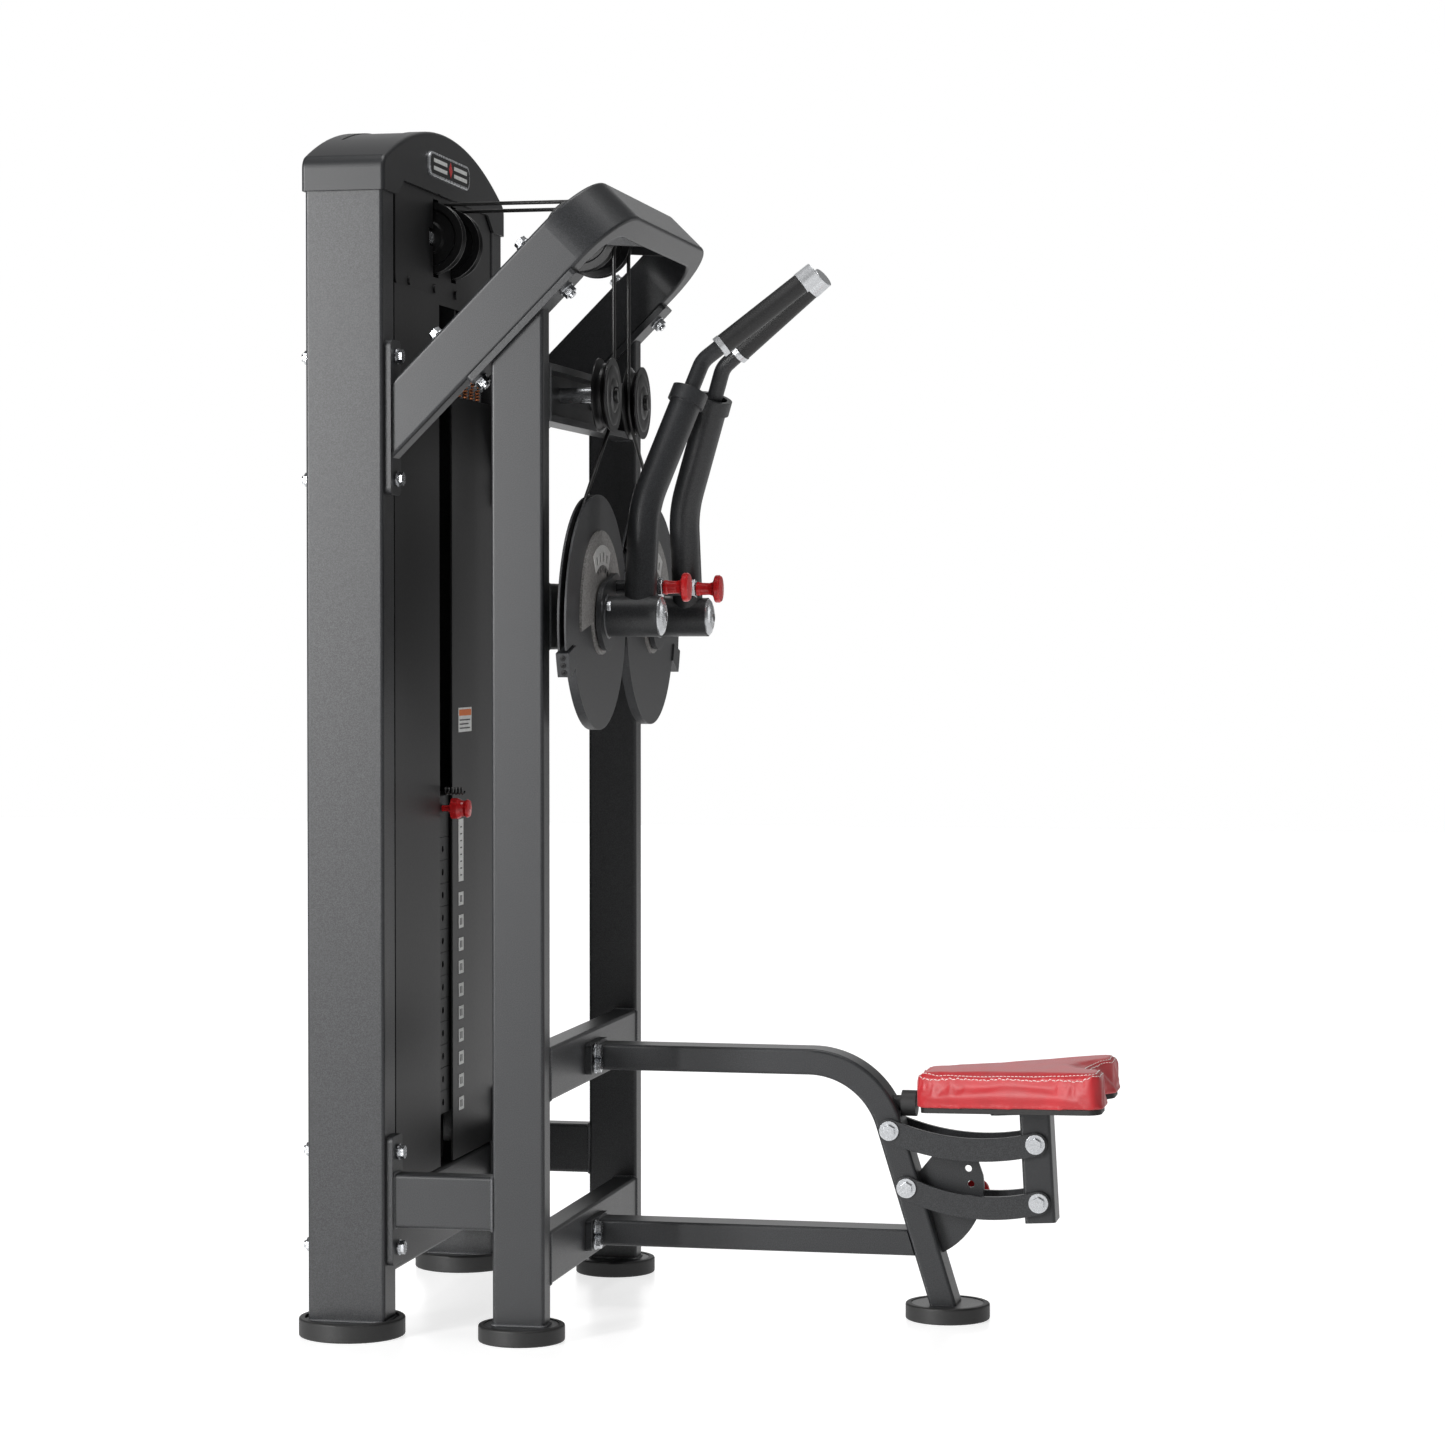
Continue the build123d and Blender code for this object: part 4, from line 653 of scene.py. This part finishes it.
CLAMP_R = 213.2
for word, side in (("left", -1), ("right", 1)):
    body = word + "_cam"
    cam_low, cam_high = box_of("cam_" + word)
    cam_x = (cam_low.x + cam_high.x) / 2
    # the screw heads and the hex discs on them are near-black: painted shade for the holes the screws sit
    # in
    screws, sockets = ([], []), ([], [])
    for angle in (107.0, 110.0, 113.0):
        out = (around(side, 10, angle, 0) - around(side, 0, 0, 0)).normalized()
        seat = around(side, CLAMP_R, angle, cam_x)
        lathe(screws, seat, out, [(-1 * MM, 4.4 * MM), (0.6 * MM, 4.4 * MM), (0.9 * MM, 3.9 * MM)], 24)
        lathe(sockets, seat, out, [(0.92 * MM, 2.3 * MM), (0.95 * MM, 2.2 * MM)], 6)
    piece("clamp_screws_painted_shade_" + word, screws, black_print_and_shade, body)
    piece("clamp_socket_shade_" + word, sockets, finishes["foot_rubber"], body)
    plate_x = box_of("index_plate_" + word)[1].x
    crescent = ([], [])
    for start in range(-26, 30, 13):
        sector_plate(crescent, side, 82, 98, start, start + 8, plate_x + 0.1 * MM, 1.4)
    sector_plate(crescent, side, 97, 108, -26, 34, plate_x + 0.1 * MM, 1.4)
    sector_plate(crescent, side, 78, 83, -26, 34, plate_x + 0.1 * MM, 1.4)
    piece("wear_plate_" + word, crescent, finishes["wear_plate"], body, 0.3)
    pegs = ([], [])
    spot = around(side, 27.8, 59.7, plate_x)
    lathe(pegs, spot, X, [(0, 9 * MM), (13 * MM, 9 * MM), (14 * MM, 8 * MM)])
    piece("stop_peg_" + word, pegs, finishes["foot_rubber"], body)
    heads = ([], [])
    lathe(heads, spot + X * (14.1 * MM), X, [(0, 8.5 * MM), (5 * MM, 8.5 * MM), (6 * MM, 7.4 * MM)], 6)
    piece("stop_head_" + word, heads, finishes["bolts"], body, 0.4)

# %% [markdown]
# ## Hubs, collars and pull knobs
# A domed chrome cap closes each hub, with a dark disc at its middle that is painted shade
# standing for the hole there. The pull knob is screwed into the arm and locked by a thin hex
# nut, and a weld joins the collar to the arm; the weld is coloured lighter than the frame, a
# painted highlight.

# %% Arm hardware
for word, side in (("left", -1), ("right", 1)):
    body = word + "_arm"
    cap_low, cap_high = box_of("hub_cap_" + word)
    middle = Vector((cap_high.x, (cap_low.y + cap_high.y) / 2, (cap_low.z + cap_high.z) / 2))
    rings, hole_shade_discs, nuts, welds = ([], []), ([], []), ([], []), ([], [])
    sweep(rings, ring(middle - X * (0.6 * MM), X, 8.0), 1.3 * MM, closed=True)
    piece("cap_ring_" + word, rings, finishes["polished_steel"], body)
    # a dark disc in the cap's centre: painted shade standing for the hole there
    lathe(hole_shade_discs, middle - X * (1 * MM), X, [(0, 6.8 * MM), (0.9 * MM, 6.6 * MM), (1.2 * MM, 5.8 * MM)])
    piece("cap_hole_shade_" + word, hole_shade_discs, finishes["foot_rubber"], body)
    knob_low, knob_high = box_of("pop_pin_" + word)
    knob = Vector((knob_high.x, (knob_low.y + knob_high.y) / 2, (knob_low.z + knob_high.z) / 2))
    lathe(nuts, knob - X * (49.5 * MM), X, [(0, 14.5 * MM), (0.8 * MM, 15.4 * MM), (6.6 * MM, 15.4 * MM),
                                           (7.4 * MM, 14.5 * MM)], 6)
    piece("lock_nut_" + word, nuts, finishes["bolts"], body, 0.3)
    root = Vector((box_of("arm_" + word)[0].x + 7.8 * MM, middle.y, middle.z))
    # the hub weld takes the lighter weld coat: a painted highlight
    sweep(welds, walk(ring(root, X, 31.6), 2 * MM), 2.2 * MM, closed=True)
    piece("hub_weld_" + word, welds, weld_coat_painted_highlight, body)

# %% [markdown]
# ## Covers of the lower pulleys
# A black dished disc snaps over the web of each lower pulley, and a plain cap hides the end
# of its axle, so that no bare metal shows from the front.

# %% Pulley covers
for word, tail in (("left", "l"), ("right", "r")):
    low, high = box_of("lower_pulley_" + word)
    face = Vector((high.x, (low.y + high.y) / 2, (low.z + high.z) / 2))
    cover, end_cap = ([], []), ([], [])
    lathe(cover, face, X, [(-3.2 * MM, 45.8 * MM), (0.4 * MM, 46 * MM), (1.6 * MM, 42 * MM),
                           (2.4 * MM, 30 * MM), (1.4 * MM, 27 * MM), (3.4 * MM, 23 * MM),
                           (3.8 * MM, 14 * MM)], 64)
    plastic = finishes["pulley_plastic"]
    piece("pulley_cover_" + word, cover, plastic, "lower_pulley_" + tail)
    lathe(end_cap, face, X, [(3.9 * MM, 13 * MM), (8.8 * MM, 12.6 * MM), (10 * MM, 9 * MM),
                             (10.2 * MM, 3 * MM)])
    piece("axle_cap_" + word, end_cap, plastic, "frame")

# %% [markdown]
# ## Badge and labels
# The badge is a bright rim round a black field. Its lettering is left out: plain bars and
# a red lozenge fill the field, so that it reads as a badge and names nobody. Labels get the
# same treatment: grey bars stand for print, and the care label has an orange heading.


# %% Printed marks
def plate(shape, x, y0, y1, z0, z1, depth_mm=0.5, corner_mm=0.0):
    """A thin upright plate facing the seat, its corners round if asked."""
    if corner_mm:
        centre = Vector((x, (y0 + y1) / 2, (z0 + z1) / 2))
        outline = loop(centre, Y, Z, (y1 - y0) / 2 / MM, (z1 - z0) / 2 / MM, corner_mm)
    else:
        outline = [Vector((x, y0, z0)), Vector((x, y1, z0)), Vector((x, y1, z1)), Vector((x, y0, z1))]
    prism(shape, outline, X * (depth_mm * MM))


low, high = box_of("cap_badge")
field = ([], [])
plate(field, high.x - 0.2 * MM, low.y + 5 * MM, high.y - 5 * MM, low.z + 4 * MM, high.z - 4 * MM, 0.6, 12)
piece("badge_field", field, black_print_and_shade, "frame")
marks = ([], [])
middle_y, middle_z = (low.y + high.y) / 2, (low.z + high.z) / 2
for sign in (-1, 1):
    for row, length in ((6, 74), (-6, 74)):
        y0, y1 = sorted((middle_y + sign * 20 * MM, middle_y + sign * (20 + length) * MM))
        plate(marks, high.x + 0.4 * MM, y0, y1, middle_z + (row - 3) * MM, middle_z + (row + 3) * MM, 0.5)
piece("badge_bars", marks, finishes["labels"], "frame")
lozenge = ([], [])
corners = ((0, 12), (10, 0), (0, -12), (-10, 0))
outline = [Vector((high.x + 0.4 * MM, middle_y + a * MM, middle_z + b * MM)) for a, b in corners]
prism(lozenge, outline, X * (0.7 * MM))
piece("badge_lozenge", lozenge, finishes["knob_red"], "frame")

prints, heading = ([], []), ([], [])
for low, high in islands("cover_labels"):
    wide, tall = high.y - low.y, high.z - low.z
    if wide > 50 * MM:
        plate(heading, high.x, low.y + 3 * MM, high.y - 3 * MM, high.z - 13 * MM, high.z - 3 * MM, 0.25)
        for k in range(3):
            z = low.z + (5 + 6.5 * k) * MM
            plate(prints, high.x, low.y + 6 * MM, high.y - (10 + 9 * (k % 2)) * MM, z, z + 2.2 * MM, 0.25)
    elif tall < 30 * MM:
        plate(prints, high.x, low.y + 7 * MM, low.y + 11 * MM, low.z + 5 * MM, high.z - 5 * MM, 0.25)
        plate(prints, high.x, low.y + 15 * MM, low.y + 19 * MM, low.z + 5 * MM, high.z - 5 * MM, 0.25)
    else:
        for k in range(8):
            z = low.z + (9 + 11 * k) * MM
            plate(prints, high.x, low.y + 9 * MM, high.y - 9 * MM, z, z + 2 * MM, 0.25)
piece("label_print", prints, ink, "frame")
piece("label_heading", heading, orange_ink, "frame")

# %% [markdown]
# ## Springs over the right-hand cover
# Above the top edge of the front cover at the user's right, a row of copper-coloured springs
# and bright bolts stands on a narrow ledge. A spring is a helix, and a bolt is a shank with a hex head.

# %% Springs and bolts
cover_edge = max((high for low, high in islands("front_covers")), key=lambda corner: corner.y)
ledge, coils, studs = ([], []), ([], []), ([], [])
COIL_R = 6 * MM
shelf_x, shelf_z = cover_edge.x - 22 * MM, cover_edge.z
prism(ledge, [Vector((shelf_x - 14 * MM, y * MM, shelf_z - 3 * MM)) for y in (105, 272)]
      + [Vector((cover_edge.x - 3.5 * MM, y * MM, shelf_z - 3 * MM)) for y in (272, 105)], Z * (3 * MM))
for k in range(9):
    foot = Vector((shelf_x + 4 * MM, (114 + 18.5 * k) * MM, shelf_z))
    if k % 2:
        turns = [(t, t * pi / 6) for t in range(90)]
        helix = [foot + X * (COIL_R * cos(turn)) + Y * (COIL_R * sin(turn)) + Z * ((1.2 + t * 0.42) * MM)
                 for t, turn in turns]
        sweep(coils, helix, 1.3 * MM, sides=8)
    else:
        lathe(studs, foot, Z, [(0, 4 * MM), (26 * MM, 4 * MM)], 16)
        lathe(studs, foot + Z * (20 * MM), Z, [(0, 8 * MM), (7 * MM, 8 * MM), (8 * MM, 7 * MM)], 6)
piece("cover_ledge", ledge, finishes["cover_paint"], "frame")
piece("cover_springs", coils, copper, "frame")
piece("cover_studs", studs, finishes["bolts"], "frame")

# %% [markdown]
# ## Cables above the stack
# Between the head plate and the tower pulleys each cable gets shorter as the plates rise.
# A plain bar of the cable's finish stands for it, split into short rings along its length.

# %% Cable bars above the stack
ropes = ([], [])
for low, high in islands("stack_cables"):
    foot = Vector(((low.x + high.x) / 2, (low.y + high.y) / 2, low.z))
    rise = high.z - low.z
    sweep(ropes, [foot + Z * (rise * k / 24) for k in range(25)], (high.x - low.x) / 2, sides=14)
cables = piece("stack_cable_pair", ropes, finishes["cable"], None)
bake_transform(cables)
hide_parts("stack_cables")

# %% [markdown]
# ## Head sheet of the left cover
# The cover on the left reaches up behind the pulley shroud: a second sheet, flush with the
# first, closes the gap between the top of the cover and the shroud.

# %% Head sheet
near_low, near_high = min(islands("front_covers"), key=lambda corners: corners[0].y)
shroud_low = box_of("pulley_shroud")[0]
head_sheet = ([], [])
plate(head_sheet, near_high.x - 3 * MM, near_low.y, near_high.y, near_high.z, shroud_low.z + 12 * MM, 3)
piece("cover_head_left", head_sheet, finishes["cover_paint"], "frame")

# %% [markdown]
# ## Keeper cord of the selector pin
# A selector pin is easily lost, so a short black curly cord ties it to the head plate. It
# is a helix drawn out between the two, riding on the pin.

# %% Keeper cord
pin_high = box_of("selector_pin")[1]
turns, steps = 6, 16
start = Vector((pin_high.x - 34 * MM, 0, pin_high.z + 3 * MM))
coil = []
for k in range(turns * steps + 1):
    t = k / (turns * steps)
    turn = 2 * pi * turns * t
    along, out, rise = 32 * MM * t - 8 * MM, 5 * MM * cos(turn), 5 * MM * sin(turn) + 8 * MM
    coil.append(start + X * along + Y * out + Z * rise)
keeper = ([], [])
sweep(keeper, coil, 1.6 * MM, sides=8)
piece("keeper_cord", keeper, finishes["cable"], "stack_pin")

# %% [markdown]
# ## The room, the lights and the camera
# The machine stands on a pale studio floor that runs into a white backdrop. The backdrop is
# only as wide as the picture, so the faces that look towards the seat mirror the dark side
# of the room. One tall soft light over the camera's left shoulder lights the broad faces of
# the tubes, and a narrow strip beside it draws a streak down each round one. The camera is
# a long lens a few metres away, at the height of the lower pulleys' cross member, so upright
# edges stay parallel.

# %% Floor
studio, studio_surface = new_material("pale_studio_floor", Roughness=0.3, IOR=1.45, Emission_Strength=0.72)
studio_surface.inputs["Emission Color"].default_value = (1, 1, 1, 1)
join(studio, studio_surface, Base_Color=two_tone(studio, grain(studio, 900), "#a6a6a6", "#acacac"))
ground = bpy.data.meshes.new("studio_floor")
half = 14.0
corners = [(-half, -half, 0), (half, -half, 0), (half, half, 0), (-half, half, 0)]
ground.from_pydata(corners, [], [(0, 1, 2, 3)])
ground.materials.append(studio)
floor = bpy.data.objects.new("studio_floor", ground)
bpy.context.scene.collection.objects.link(floor)


# %% Lights
def soft_light(name, place, target, width, height, watts):
    lamp = bpy.data.lights.new(name, "AREA")
    lamp.shape, lamp.size, lamp.size_y, lamp.energy = "RECTANGLE", width, height, watts
    obj = bpy.data.objects.new(name, lamp)
    obj.location = place
    obj.rotation_mode = "QUATERNION"
    obj.rotation_quaternion = (Vector(target) - Vector(place)).to_track_quat("-Z", "Y")
    bpy.context.scene.collection.objects.link(obj)
    return obj


middle = (Vector(cad_box[0]) + Vector(cad_box[1])) / 2
soft_light("key_left", (-3.1, -3.9, 2.2), middle, 0.8, 2.6, 230)
soft_light("top_soft", (0.2, -0.4, 4.6), middle, 2.0, 2.0, 70)
soft_light("streak", (-2.3, -4.6, 1.6), middle, 0.14, 2.8, 70)
soft_light("side_strip", (3.0, 3.0, 1.6), middle, 0.8, 1.8, 10)
world = bpy.data.worlds.new("white_surround")
world.use_nodes = True
aim = node(world, "ShaderNodeTexCoord").outputs["Generated"]
aim = node(world, "ShaderNodeSeparateXYZ", {"Vector": aim})
behind = node(world, "ShaderNodeMapRange", {"Value": aim.outputs["Y"], "From Min": 0.7, "From Max": 0.85})
aside = node(world, "ShaderNodeMapRange", {"Value": aim.outputs["X"], "From Min": 0.08, "From Max": 0.01})
bright = node(world, "ShaderNodeMath", {0: behind.outputs["Result"], 1: aside.outputs["Result"]},
              operation="MULTIPLY").outputs["Value"]
bright = spread(world, bright, 0.16, 1.0)
background = world.node_tree.nodes["Background"]
background.inputs["Color"].default_value = (1, 1, 1, 1)
world.node_tree.links.new(bright, background.inputs["Strength"])
bpy.context.scene.world = world
bpy.context.scene.view_settings.view_transform = "Standard"

# %% Camera
columns_low, columns_high = box_of("tower_columns")
tower_x = (columns_low.x + columns_high.x) / 2
YAW, PITCH = 0.203, -0.0249
eye = Vector((tower_x + 1.6666, -5.6411, 1.0600))
aim = Vector((-sin(YAW) * cos(PITCH), cos(YAW) * cos(PITCH), sin(PITCH)))
lens = bpy.data.cameras.new("studio_camera")
lens.lens, lens.sensor_width, lens.clip_start = 92.32, 36.0, 0.05
camera = bpy.data.objects.new("studio_camera", lens)
camera.location = eye
camera.rotation_mode = "QUATERNION"
camera.rotation_quaternion = aim.to_track_quat("-Z", "Y")
bpy.context.scene.collection.objects.link(camera)
bpy.context.scene.camera = camera
